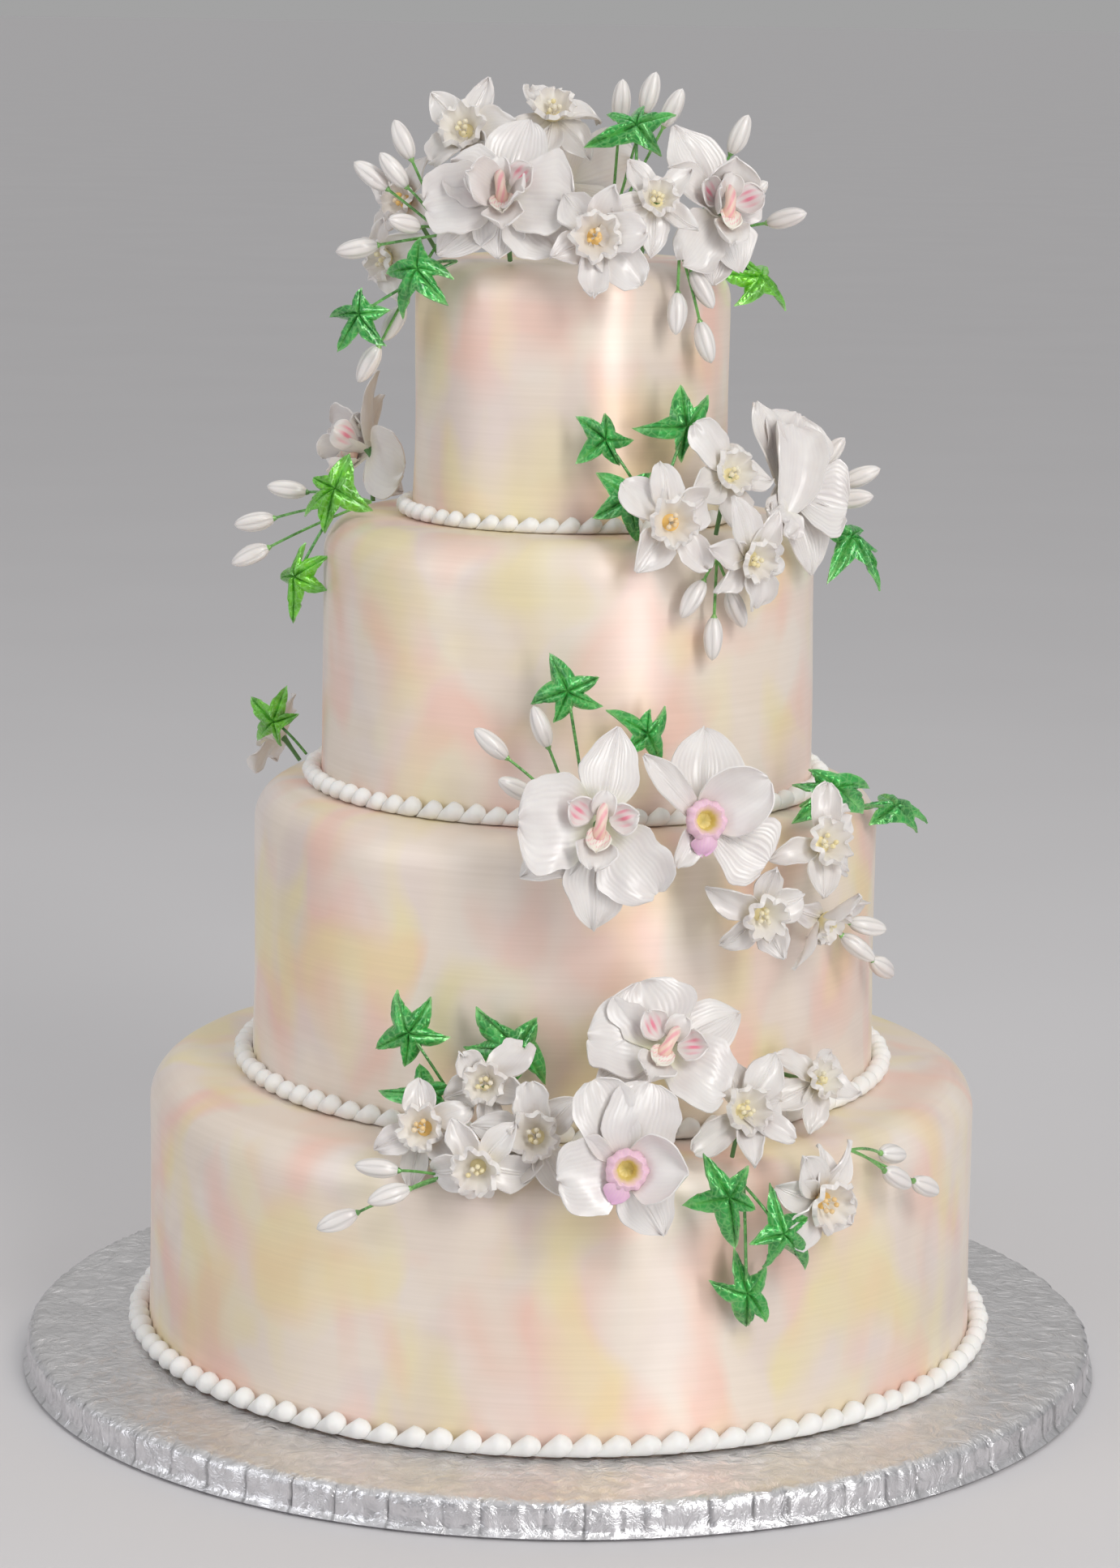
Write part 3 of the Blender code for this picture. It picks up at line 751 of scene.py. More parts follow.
GROWTH_ROWS = {
    "sepal": (10, -30, 0.35, 1.3, 0.09, 0.15, 0.8),
    "petal": (24, -34, 0.45, 2.4, 0.12, 0.10, 0.0),
    "shell": (28, 14, 0.95, 0.8, 0.04, 0.02, 0.0),
    "fan": (18, -14, 0.35, 1.6, 0.07, 0.40, 0.0),
    "strap": (26, -26, 0.80, 1.2, 0.10, 0.06, 0.3),
    "point": (14, -22, 0.60, 1.3, 0.13, 0.07, 0.2),
    "hood": (58, 16, 0.70, 0.9, 0.05, 0.05, 0.0),
    "back": (-44, -36, 0.50, 0.7, 0.04, 0.05, 0.0),
    "cloak": (22, -36, 1.10, 2.6, 0.07, 0.06, 0.0),
}
GROWTH = {form: dict(zip(GROWTH_WORDS, row)) for form, row in GROWTH_ROWS.items()}
print(len(GROWTH), "forms of petal")

# %% [markdown]
# ## How a petal is shaped
# The maker thins the edge, rolls in the veins and dries the petal over a form. Here the
# petal is a grid whose rows run from the claw to the tip, and the same things are done
# to it in turn: the spine is bent, the sides are cupped, the edge is ruffled, the
# grooves are pressed in and the whole is twisted. No two petals may look alike, so soft
# waves with chance phases push every edge about. Bend and twist modifiers could do
# part of this, but not the ruffled edge.

# %% Shape a petal
PEARL = np.array((0.81, 0.775, 0.745))
GROOVE_SHADE = np.array((0.70, 0.65, 0.66))
GROOVE_LINES = 15
UPWARD = np.array((0.0, 0.0, 1.0))


def chance_waves(hand, places, cycles, strength):
    """Soft uneven waves along the places, from three sines with chance phases."""
    total = np.zeros_like(places)
    for step in range(3):
        phase = hand.uniform(0, math.tau)
        total = total + np.sin(places * cycles * (1 + 0.7 * step) * math.tau + phase) / (1 + step)
    return total * strength / 1.8


def petal_grid(form, length, width, heading, hand, lift=0.0, bend=0.0, cup=0.0, curl=0.0, twist=0.0,
               rows=18, columns=61):
    """A petal's grid in the flower's own frame, its shares along and across, and its grooves."""
    way = GROWTH[form]
    # the rows stand closer towards the tip
    share = 1 - (1 - np.linspace(0.02, 1, rows)) ** 1.4
    across = np.linspace(-1, 1, columns)
    edge = np.maximum(np.abs(across)[None, :] ** 3, np.clip((share[:, None] - 0.72) / 0.28, 0, 1) ** 2)
    # the spine lifts, bends and curls at its end
    angle = np.radians(way["lift"] + lift + (way["bend"] + bend) * share + curl * share**5)
    step = np.diff(share, prepend=0.0) * length
    run = np.cumsum(np.cos(angle) * step)
    rise = np.cumsum(np.sin(angle) * step)
    # the outline, with each side ragged in its own way
    half = smooth_curve(OUTLINES[form], share) * width / 2
    left = half * (1 + chance_waves(hand, share, 1.6, way["ragged"]))
    right = half * (1 + chance_waves(hand, share, 1.6, way["ragged"]))
    reach = np.where(across[None, :] < 0, left[:, None], right[:, None])
    # the sides cup, as if laid round a pipe
    cup = way["cup"] + cup
    arc = cup * across[None, :]
    side = reach * np.sin(arc) / cup
    lifted = reach * (1 - np.cos(arc)) / cup
    past_claw = np.clip(share[:, None] * 2, 0, 1)
    # the edge ruffles all round
    around = np.arctan2(across[None, :] * 0.9, (share[:, None] - 0.3) * 1.2) / math.tau
    lifted = lifted + chance_waves(hand, around, 5.0, way["ruffle"]) * MM * edge * past_claw
    # grooves from the claw to the tip, no two alike, then shallow dents and a ridge
    uneven = across * math.pi * GROOVE_LINES + chance_waves(hand, across, 1.1, 2.5)
    lines = (np.cos(uneven) * (0.65 + chance_waves(hand, across, 0.9, 0.35)))[None, :]
    lines = lines * np.clip(share * 3, 0, 1)[:, None]
    lifted = lifted + way["grooves"] * MM * lines * (1 - 0.5 * edge)
    dents = chance_waves(hand, across[None, :] * 0.45 + share[:, None] * 0.7, 1.0, 0.9 * MM)
    lifted = lifted + dents * past_claw
    spine = np.exp(-((np.abs(across) - 0.06) / 0.04) ** 2)[None, :] * (1 - share[:, None]) ** 0.3
    lifted = lifted + way["ridge"] * MM * spine
    # the twist, and then the way into the flower's own frame
    turn = np.radians(twist) * share[:, None]
    side, lifted = side * np.cos(turn) - lifted * np.sin(turn), side * np.sin(turn) + lifted * np.cos(turn)
    outward = np.array((math.cos(math.radians(heading)), math.sin(math.radians(heading)), 0.0))
    beside = np.array((-outward[1], outward[0], 0.0))
    middle = outward * run[:, None] + UPWARD * rise[:, None]
    normal = UPWARD * np.cos(angle)[:, None] - outward * np.sin(angle)[:, None]
    grid = middle[:, None, :] + beside * side[..., None] + normal[:, None, :] * lifted[..., None]
    shares, sides = np.broadcast_arrays(share[:, None], across[None, :])
    return grid, shares, sides, lines


def blend(first, second, share):
    """The first colour where the share is 0, the second where it is 1."""
    share = np.clip(share, 0, 1)[..., None]
    return np.array(first) * (1 - share) + np.array(second) * share


def add_petal(flower, matrix, form, length, width, heading, hand, heart=PEARL, finish=0, thickness=0.9,
              painter=None, **change):
    """A petal with shade in its grooves and the heart's tint at its claw, unless a painter is given."""
    grid, share, across, lines = petal_grid(form, length, width, heading, hand, **change)
    thick = thickness * MM * (0.65 + 0.35 * (1 - share[:, 0]) ** 0.5)
    points, faces = thin_solid(grid, thick)
    if painter is None:
        paint = blend(heart, PEARL, share * 2.6)
        paint = blend(paint, GROOVE_SHADE, np.clip(-lines, 0, 1) * (0.20 + GROWTH[form]["grooves"]))
    else:
        paint = painter(share, across)
    flower.add(placed(points, matrix), faces, np.concatenate([paint.reshape(-1, 3)] * 2), finish)


test_hand = random.Random(1)
print("a petal grid has", petal_grid("petal", 40 * MM, 30 * MM, 0, test_hand)[0].shape, "points")

# %% [markdown]
# ## Petal and pearl finishes
# The petals were dusted with pearl. They are satin, not glossy, and thin enough to
# glow a little where light comes from behind. The colour comes from the paint on the
# points, with faint clouds of lavender grey over it and a fine grain of sugar. One
# colour for the whole petal would be simpler, but the shade in the grooves shows them
# in soft light.

# %% Mix the petal finish
def petal_finish(name, roughness, coat, through):
    """Pearl paste: the paint on the points under faint clouds, with a coat and a fine grain."""
    material, net, shader = new_finish(name, roughness, coat=coat, coat_roughness=0.25,
                                       through=through, sheen=0.05)
    clouds = add_noise(net, 55.0)
    shade = add_ramp(net, clouds, ((0.30, (0.89, 0.86, 0.87)), (0.60, WHITE)))
    net.links.new(add_mix(net, 0.8, add_paint(net), shade, "MULTIPLY"), shader.inputs["Base Color"])
    add_bump(net, shader, add_noise(net, 420.0, detail=3.0), 0.16, 0.0004)
    return material


petal_material = petal_finish("pearl_petal", 0.32, 0.35, 0.12)
heart_material = petal_finish("dusted_heart", 0.45, 0.15, 0.10)
print("mixed", petal_material.name, "and", heart_material.name)

# %% [markdown]
# ## The orchids
# A sugar orchid has long ridged sepals, broad veined petals and a lip. A row of the
# table starts with the flower's place in millimetres, how far it is turned to the
# right and tilted up, and where its lip points. Then it gives every petal's form, its
# heading seen from the front of the flower, its length and its width. Headings run from
# 0 at the right to 90 at the top. One orchid could be copied nine times, but no two on
# the cake are alike: some petals are cupped like a shell, some are seen edge on, and
# one is spread like a fan.

# %% Name the orchids and their petals
ORCHIDS = {
    "orchid_crown_left": ((-33, -67, 589), -8, 20, -80, (
        ("sepal", 78, 44, 30), ("petal", -5, 34, 44), ("petal", 153, 30, 30), ("petal", 190, 39, 36),
        ("sepal", -92, 31, 28), ("sepal", -138, 42, 28), ("petal", -42, 38, 34))),
    "orchid_crown_right": ((69, -51, 583), 24, 16, -100, (
        ("sepal", 114, 46, 30), ("shell", 82, 28, 32), ("strap", 150, 38, 18), ("petal", -134, 38, 28),
        ("sepal", -74, 31, 26), ("sepal", -100, 36, 24), ("petal", 20, 22, 24))),
    "orchid_crown_back": ((-6, 50, 590), 175, 14, -90, (
        ("sepal", 90, 42, 26), ("petal", 20, 40, 36), ("petal", 160, 41, 36), ("sepal", -40, 38, 24),
        ("sepal", 220, 39, 24))),
    "orchid_shoulder": ((101, -60, 452), 38, 24, -114, (
        ("strap", 108, 44, 18), ("petal", 66, 39, 40), ("fan", -28, 34, 46), ("sepal", -74, 46, 26),
        ("strap", -127, 28, 18), ("petal", 14, 30, 34))),
    "orchid_left": ((-100, 34, 458), -118, 14, -90, (
        ("strap", 96, 40, 14), ("back", -6, 30, 38), ("hood", 172, 34, 36), ("strap", 120, 30, 13),
        ("hood", -64, 28, 26), ("sepal", 222, 36, 24))),
    "orchid_third_left": ((15, -190, 312), 4, 10, -100, (
        ("sepal", 78, 46, 28), ("petal", -50, 42, 36), ("petal", 177, 38, 48), ("sepal", -92, 50, 30),
        ("sepal", -146, 44, 22))),
    "orchid_third_right": ((62, -172, 311), 16, 12, -95, (
        ("sepal", 81, 46, 34), ("shell", 33, 38, 36), ("fan", -36, 36, 38), ("strap", 133, 44, 14),
        ("strap", -124, 26, 14))),
    "orchid_base_upper": ((47, -192, 207), 8, 30, -122, (
        ("petal", 107, 34, 42), ("petal", 168, 37, 38), ("sepal", 27, 42, 26), ("petal", -38, 35, 38),
        ("sepal", -156, 36, 24))),
    "orchid_base_lower": ((29, -236, 164), 6, 8, 244, (
        ("petal", 111, 44, 30), ("petal", 74, 41, 36), ("shell", 2, 34, 36), ("sepal", -60, 36, 28),
        ("petal", 188, 32, 38))),
}
LIFT_STEPS = (0, 0, 5, 2, 4, -4, -6)
RING_LIPS = ("orchid_third_right", "orchid_base_lower")
CLOAKED = ("orchid_shoulder",)
FRONT_PETALS = {"orchid_crown_left": ((168, 27, 24), (-28, 30, 20)),
                "orchid_crown_right": ((160, 26, 16),)}
GREEN_HEARTS = {"orchid_third_left": (0.72, 0.76, 0.48), "orchid_base_upper": (0.74, 0.76, 0.46)}
CREAM_HEART = (0.80, 0.76, 0.64)
print(sum(len(row[4]) for row in ORCHIDS.values()), "petals on", len(ORCHIDS), "orchids")

# %% [markdown]
# ## The lips of the orchids
# The lip carries all the colour. Most orchids have two round side lobes like pearl
# shells with a brush of pink inside, a short speckled column between them and a
# small box-shaped lip below. Two have a thick pink ring round a yellow hollow
# instead, with a ribbed magenta tongue. The paint could be a picture on each lip, but
# here it is worked out from the place on the form: stripes run along it and speckles
# sit where two waves meet.

# %% Make the lips
PINK = np.array((0.86, 0.26, 0.36))
BLUSH = np.array((0.88, 0.62, 0.69))
MAGENTA = np.array((0.84, 0.48, 0.73))
PEACH_PASTE = np.array((0.88, 0.62, 0.50))
YELLOW = np.array((0.84, 0.70, 0.26))
IVORY = np.array((0.88, 0.84, 0.74))


def paint_lobe(share, across):
    """Pearl with a striped brush of pink in the middle."""
    stripes = np.clip(np.cos(across * 15) * 1.6, 0, 1)
    patch = np.exp(-(((share - 0.52) / 0.24) ** 2 + ((across - 0.1) / 0.55) ** 2))
    return blend(PEARL, PINK, patch * (0.25 + 0.75 * stripes) * 1.2)


def paint_lip(share, across):
    """Ivory to peach with pink speckles, but for the edge."""
    speckle = np.sin(share * 47 + across * 13) * np.sin(across * 23 - share * 17)
    tinted = blend(blend(PEACH_PASTE, IVORY, np.array(0.55)), IVORY, share * 1.6)
    return blend(tinted, PINK, np.clip((speckle - 0.25) * 2.0, 0, 0.7) * (share < 0.8))


def paint_tongue(share, across):
    """Magenta in ribs, deeper towards the tip."""
    ribs = 0.5 + 0.5 * np.cos(across * 30)
    return blend(BLUSH, MAGENTA, share * 0.9 + ribs * 0.35)


def moved(matrix, heading, out, rise):
    """The flower's matrix, moved along a heading and up from its heart."""
    way = math.radians(heading)
    return matrix @ Matrix.Translation((math.cos(way) * out * MM, math.sin(way) * out * MM, rise * MM))


def add_column(flower, matrix, heading):
    """The arched column from under the hood down to the box, peach with pink speckles."""
    down = Vector((math.cos(math.radians(heading)), math.sin(math.radians(heading)), 0))
    radii = [value * MM for value in (0.8, 1.9, 2.5, 2.7, 2.6, 2.5, 2.6, 2.9, 3.1, 2.6, 1.0)]
    rings = len(radii)
    sides = 16
    path = []
    for step in range(rings):
        share = step / (rings - 1)
        arch = (8 + 4.5 * math.sin(math.pi * share)) * MM
        path.append(down * (-11 + 19 * share) * MM + Vector((0, 0, arch)))
    points, faces = rod(path, radii, sides)
    along = np.repeat(np.arange(rings), sides) / (rings - 1)
    around = np.tile(np.arange(sides), rings)
    speckle = np.sin(along * 41 + around * 1.9) * np.sin(around * 2.6 - along * 23)
    paint = blend(blend(IVORY, PEACH_PASTE, along * 1.4), PINK, np.clip(speckle * 1.5 - 0.4, 0, 0.7))
    flower.add(placed(points, matrix), faces, paint, 1)


def add_box_lip(flower, matrix, heading, hand):
    """Two side lobes, a small hood over them, a cupped lip, its painted inside and the column."""
    for side in (-1, 1):
        way = heading + 180 + side * 64
        add_petal(flower, moved(matrix, way, 4.5, 6.5), "shell", 16 * MM, 17 * MM, way, hand, finish=1,
                  painter=paint_lobe, lift=-14, bend=20, rows=16, columns=31)
    back = heading + 180
    add_petal(flower, moved(matrix, back, 5, 5.5), "shell", 13 * MM, 13 * MM, back, hand, finish=1,
              lift=40, bend=-90, rows=14, columns=25)
    add_petal(flower, moved(matrix, heading, 7, 5.5), "petal", 17 * MM, 23 * MM, heading, hand, finish=1,
              heart=IVORY, lift=22, bend=20, cup=0.7, rows=16, columns=31)
    add_petal(flower, moved(matrix, heading, 1, 8), "shell", 13 * MM, 13 * MM, heading, hand, finish=1,
              painter=paint_lip, lift=6, bend=-20, rows=16, columns=31)
    add_column(flower, matrix, heading)


RING_OUTLINE = ((0.10, 0.0), (0.21, 0.06), (0.245, 0.14), (0.225, 0.21), (0.175, 0.24),
                (0.125, 0.20), (0.105, 0.13), (0.085, 0.06), (0.01, 0.04))
RING_SCALE = 40 * MM
HOLLOW_SHADE = (0.56, 0.46, 0.12)


def add_ring_lip(flower, matrix, heading, hand):
    """A thick ring round a hollow, turned like a potter's bowl, and a ribbed tongue below it."""
    sides = 60
    rings = []
    paint = []
    for number, (reach, rise) in enumerate(RING_OUTLINE):
        inside = np.clip((number - 4) / 2.0, 0, 1)
        for side in range(sides):
            angle = math.tau * side / sides
            lump = 1 + 0.035 * math.sin(angle * 7 + number) + 0.03 * math.sin(angle * 12 + 2)
            rings.append((math.cos(angle) * reach * lump * RING_SCALE,
                          math.sin(angle) * reach * lump * RING_SCALE,
                          rise * RING_SCALE * lump + 2.5 * MM))
            glitter = 0.5 + 0.5 * math.sin(side * 2.7 + number * 1.9)
            rim = blend(BLUSH, MAGENTA, np.array(glitter * 0.5))
            hollow = HOLLOW_SHADE if number == len(RING_OUTLINE) - 1 else YELLOW
            paint.append(blend(rim, hollow, np.array(inside)))
    points, faces = ring_solid(np.array(rings).reshape(len(RING_OUTLINE), sides, 3))
    flower.add(placed(points, matrix), faces, np.array(paint), 1)
    add_petal(flower, moved(matrix, heading, 5.5, 11), "shell", 12 * MM, 14 * MM, heading, hand, finish=1,
              painter=paint_tongue, lift=-14, bend=-80, cup=-1.9, rows=14, columns=31)


print("a ring lip is", round(2 * max(reach for reach, rise in RING_OUTLINE) * RING_SCALE / MM), "mm wide")

# %% [markdown]
# ## Putting an orchid together
# The sepals go behind and the petals in front, then the lip. Two orchids at the crown
# carry small petals in front of their lips. The one on the shoulder is seen edge on,
# and a tall cupped petal hides its heart. A green stem runs from the flower's heart to
# the nearest place on the cake, as the taped wire does. Above the top tier the nearest
# place would be right below the flower, so the stem runs to a place further back, where
# it doesn't show. All parts of a flower are gathered in one mesh. They could be separate
# objects with one parent, but then a whole crowd would stand for one plain solid.

# %% Make the orchids
STEM_BACK = 12 * MM
STEM_INSIDE = 2 * MM
STEM_GREEN = (0.10, 0.24, 0.07)
CAKE_TOP = BOARD_THICKNESS + sum(TIER_HEIGHTS)


def nearest_cake(point):
    """The nearest place on the rounded tiers to a point beside or above them."""
    reach = math.hypot(point.x, point.y)
    best = None
    # every rounded tier is a ball of the edge's radius that rolls inside it
    for number, floor in enumerate(tier_floors()):
        inner = min(reach, TIER_RADII[number] + TIER_FLARE - TIER_ROUND)
        height = min(max(point.z, floor + TIER_ROUND), floor + TIER_HEIGHTS[number] - TIER_ROUND)
        core = Vector((point.x * inner / reach, point.y * inner / reach, height))
        spot = core + (point - core).normalized() * TIER_ROUND
        if best is None or (spot - point).length < (best - point).length:
            best = spot
    return best


def add_stem(flower, matrix, share, radii, sides=10):
    """A stem from just short of the cake, by its share of the way, into a flower's heart."""
    heart = matrix.translation
    back = STEM_BACK if heart.z > CAKE_TOP else 0.0
    behind = matrix @ Vector((0, 0, -back))
    end = heart + (nearest_cake(behind) - heart) * share
    path = [end, heart.lerp(end, 0.5), heart.lerp(end, 0.12), matrix @ Vector((0, 0, STEM_INSIDE))]
    points, faces = rod(path, [radius * MM for radius in radii], sides)
    flower.add(points, faces, STEM_GREEN, 1)


def add_cloak(flower, matrix, heading, hand):
    """A tall cupped petal that stands before the heart and hides it, with a crumpled lip at its foot."""
    add_petal(flower, moved(matrix, heading - 4, 17, 6), "cloak", 47 * MM, 36 * MM, heading + 184, hand)
    for turn in (-70, -30, 10):
        add_petal(flower, moved(matrix, heading, 15, 7), "petal", 15 * MM, 15 * MM, heading + turn, hand,
                  heart=IVORY, lift=20, bend=-40, rows=16, columns=31)


def lip_maker(node):
    """The way to make this orchid's lip."""
    if node in RING_LIPS:
        return add_ring_lip
    if node in CLOAKED:
        return add_cloak
    return add_box_lip


def make_orchid(node, place, turn, tilt, lip, petals):
    """One orchid of one mesh. Its name seeds the chance in it, so that it always comes out the same."""
    matrix = flower_matrix(place, turn, tilt)
    hand = random.Random(node)
    flower = Gathering()
    for number, (form, heading, length, width) in enumerate(petals):
        add_petal(flower, matrix, form, length * MM, width * MM, heading, hand,
                  heart=GREEN_HEARTS.get(node, CREAM_HEART), lift=LIFT_STEPS[number],
                  curl=hand.uniform(-40, 30), twist=hand.uniform(-12, 12))
    lip_maker(node)(flower, matrix, lip, hand)
    for heading, length, width in FRONT_PETALS.get(node, ()):
        add_petal(flower, moved(matrix, heading, 3, 4), "hood", length * MM, width * MM, heading, hand)
    add_stem(flower, matrix, 0.96, (1.2, 1.3, 1.7, 2.6))
    piece = flower.make(node.replace("orchid_", "sugar_orchid_"), [petal_material, heart_material])
    return finish_piece(piece, node)


for node, (place, turn, tilt, lip, petals) in ORCHIDS.items():
    orchid = make_orchid(node, place, turn, tilt, lip, petals)
    print(orchid.name, len(orchid.data.polygons), "faces")

# %% [markdown]
# ## The small blossoms
# Between the orchids sit small blossoms with five or six pointed petals round a deep
# trumpet. A row of the table gives a blossom's place in millimetres, how far it is
# turned to the right and tilted up, and its size. Then come its petals, each with its
# heading and its length. A random spread could place the petals too, but those that
# stand out in a cluster are what make it look like the real one.

# %% Name the blossoms and their petals
BLOSSOMS = {
    "blossom_crown_a": ((-52, -26, 617), -18, 25, 25,
        ((11, 26), (76, 30), (137, 27), (232, 24), (312, 24))),
    "blossom_crown_b": ((-11, 0, 624), 0, 50, 24,
        ((15, 27), (72, 26), (120, 23), (215, 24), (318, 28), (262, 30))),
    "blossom_crown_c": ((10, -92, 572), 2, 5, 25,
        ((7, 26), (70, 27), (126, 27), (268, 32), (314, 32), (205, 24))),
    "blossom_crown_d": ((38, -82, 588), 12, 25, 20,
        ((40, 24), (120, 24), (195, 25), (262, 27), (318, 25))),
    "blossom_crown_e": ((-81, -4, 583), -42, 15, 22,
        ((53, 28), (100, 24), (154, 24), (235, 22), (332, 24))),
    "blossom_crown_f": ((-89, -16, 557), -50, -10, 21,
        ((26, 26), (100, 20), (160, 20), (210, 25), (290, 22))),
    "blossom_shoulder_a": ((46, -128, 443), 14, 8, 25,
        ((28, 28), (93, 31), (138, 29), (234, 28), (310, 29))),
    "blossom_shoulder_b": ((74, -90, 461), 30, 20, 23,
        ((352, 25), (61, 26), (128, 32), (204, 27), (266, 30))),
    "blossom_shoulder_c": ((84, -112, 425), 38, -5, 22,
        ((355, 26), (60, 27), (114, 34), (165, 31), (220, 24), (285, 26))),
    "blossom_back_left": ((-146, 66, 305), -115, 32, 22,
        ((18, 24), (90, 24), (162, 24), (234, 24), (306, 24))),
    "blossom_third_a": ((90, -170, 268), 22, -8, 23,
        ((17, 24), (83, 26), (155, 31), (228, 26), (300, 26))),
    "blossom_third_b": ((119, -136, 293), 36, 22, 24,
        ((329, 27), (31, 28), (79, 30), (186, 28), (256, 26))),
    "blossom_third_c": ((121, -130, 258), 56, -32, 22,
        ((20, 26), (92, 25), (164, 26), (236, 29), (308, 31))),
    "blossom_base_a": ((-62, -196, 170), -18, 15, 23,
        ((29, 25), (107, 24), (208, 27), (257, 31), (322, 30))),
    "blossom_base_b": ((-35, -190, 190), -6, 15, 21,
        ((47, 28), (129, 21), (202, 21), (280, 26), (346, 25))),
    "blossom_base_c": ((-37, -214, 158), -12, -5, 24,
        ((346, 27), (50, 26), (124, 25), (195, 26), (262, 22))),
    "blossom_base_d": ((-11, -207, 170), -8, 15, 24,
        ((45, 26), (98, 26), (174, 31), (245, 26), (300, 32))),
    "blossom_base_e": ((83, -189, 178), 22, 20, 24,
        ((53, 33), (99, 27), (214, 30), (266, 29), (320, 28), (10, 25))),
    "blossom_base_f": ((120, -135, 178), 42, 28, 20,
        ((34, 24), (130, 24), (192, 28), (242, 26), (325, 23))),
    "blossom_base_g": ((120, -193, 138), 34, -5, 26,
        ((52, 32), (90, 27), (124, 33), (160, 28), (216, 28), (323, 25))),
}
print(sum(len(row[4]) for row in BLOSSOMS.values()), "petals on", len(BLOSSOMS), "blossoms")

# %% [markdown]
# ## Trumpets and stamens
# The trumpet has a thick, lumpy, frilled rim, because the frill was worked with a ball
# tool, and its throat is brushed yellow or orange in streaks. It is a closed grid whose
# rim is pushed in and out and up and down by waves, and thickened. A plain cone would
# do from far away, but the lumps of the frill are what tells these blossoms from paper
# ones. Five stamens with round heads stand in each.

# %% Make the blossoms
TRUMPET_REACH = 0.46
TRUMPET_DEPTH = 0.48
GOLD_THROAT = np.array((0.90, 0.56, 0.16))
STRAW_THROAT = np.array((0.90, 0.78, 0.42))
GOLD_THROATS = ("blossom_crown_c", "blossom_crown_e", "blossom_shoulder_a", "blossom_base_a",
                "blossom_base_g")
THROAT_WIDTH = 0.17
THROAT_FLOOR = ((0.9, 0.05), (1.0, 0.09), (0.6, 0.12), (0.05, 0.13))
THROAT_SIDES = 24
STAMENS = 5


def add_trumpet(flower, matrix, size, throat, hand):
    """The trumpet from its throat to its frill, and the floor that closes its throat."""
    rows, columns = 12, 88
    share = np.linspace(0, 1, rows)[:, None]
    around = np.linspace(0, 1, columns, endpoint=False)[None, :]
    frill = share**2.5
    phase = hand.uniform(0, math.tau)
    lobes = np.sin(around * math.tau * 8 + phase) + 0.6 * np.sin(around * math.tau * 5 - phase)
    fine = np.sin(around * math.tau * 17 + 3 * phase)
    reach = size * (0.15 + (TRUMPET_REACH - THROAT_WIDTH) * share**0.9
                    + frill * (0.045 * lobes + 0.015 * fine))
    rise = size * (0.06 + (TRUMPET_DEPTH - 0.06) * share - 0.05 * frill
                   + frill * (0.05 * np.sin(around * math.tau * 9 + 2 * phase) + 0.02 * fine))
    angle = around * math.tau
    grid = np.stack([np.cos(angle) * reach, np.sin(angle) * reach, rise], axis=-1)
    thick = (0.7 + 1.7 * share[:, 0] ** 4) * MM
    points, faces = thin_solid(grid, thick, closed=True)
    streaks = np.clip(np.sin(around * math.tau * 9 + phase) + np.sin(around * math.tau * 5), 0, 1)
    paint = blend(throat, IVORY, share * 1.7 - 0.35 - 0.6 * streaks * (1 - share))
    paint = blend(paint, PEARL, (share - 0.7) * 2.5)
    outside = blend(IVORY, PEARL, share + 0 * around)
    both_sides = np.concatenate([paint.reshape(-1, 3), outside.reshape(-1, 3)])
    flower.add(placed(points, matrix), faces, both_sides, 1)
    floor = [(math.cos(turn) * size * THROAT_WIDTH, math.sin(turn) * size * THROAT_WIDTH)
             for turn in np.linspace(0, math.tau, THROAT_SIDES, endpoint=False)]
    rings = [[(x * wide, y * wide, size * high) for x, y in floor] for wide, high in THROAT_FLOOR]
    points, faces = ring_solid(rings)
    flower.add(placed(points, matrix), faces, throat, 1)


def add_stamens(flower, matrix, size, throat, hand):
    """Thin leaning threads, each with a round head of pollen."""
    for number in range(STAMENS):
        angle = math.tau * number / STAMENS + hand.uniform(-0.3, 0.3)
        lean = size * hand.uniform(0.05, 0.16)
        tip = Vector((math.cos(angle) * lean, math.sin(angle) * lean, size * hand.uniform(0.26, 0.38)))
        points, faces = rod([Vector((0, 0, 2 * MM)), tip * 0.6, tip], [0.6 * MM, 0.5 * MM, 0.45 * MM], 6)
        flower.add(placed(points, matrix), faces, IVORY, 1)
        head = [tip + Vector((0, 0, height * MM)) for height in (-1.2, -0.6, 0.5, 1.2)]
        points, faces = rod(head, [0.4 * MM, 1.2 * MM, 1.2 * MM, 0.4 * MM], 8)
        pollen = blend(throat, IVORY, np.array(hand.uniform(0, 0.8)))
        flower.add(placed(points, matrix), faces, pollen, 1)


def make_blossom(node, place, turn, tilt, size, petals):
    """One blossom of one mesh. The form, width and curl of each petal are drawn by chance."""
    matrix = flower_matrix(place, turn, tilt)
    hand = random.Random(node)
    throat = GOLD_THROAT if node in GOLD_THROATS else STRAW_THROAT
    flower = Gathering()
    for heading, length in petals:
        form = hand.choice(("point", "petal", "sepal", "sepal"))
        add_petal(flower, matrix, form, length * MM, size * MM * hand.uniform(0.62, 0.90), heading, hand,
                  heart=IVORY, lift=hand.uniform(-14, 16), bend=hand.uniform(-30, 28),
                  cup=hand.uniform(0.0, 0.5), curl=hand.uniform(-60, 50), twist=hand.uniform(-35, 35),
                  rows=12, columns=31, thickness=0.95)
    add_trumpet(flower, matrix, size * MM, throat, hand)
    add_stamens(flower, matrix, size * MM, throat, hand)
    add_stem(flower, matrix, 0.94, (1.1, 1.1, 1.5, 2.2), 8)
    piece = flower.make(node.replace("blossom_", "sugar_blossom_"), [petal_material, heart_material])
    return finish_piece(piece, node)


for node, (place, turn, tilt, size, petals) in BLOSSOMS.items():
    blossom = make_blossom(node, place, turn, tilt, size, petals)
print(len(BLOSSOMS), "blossoms, the last with", len(blossom.data.polygons), "faces")

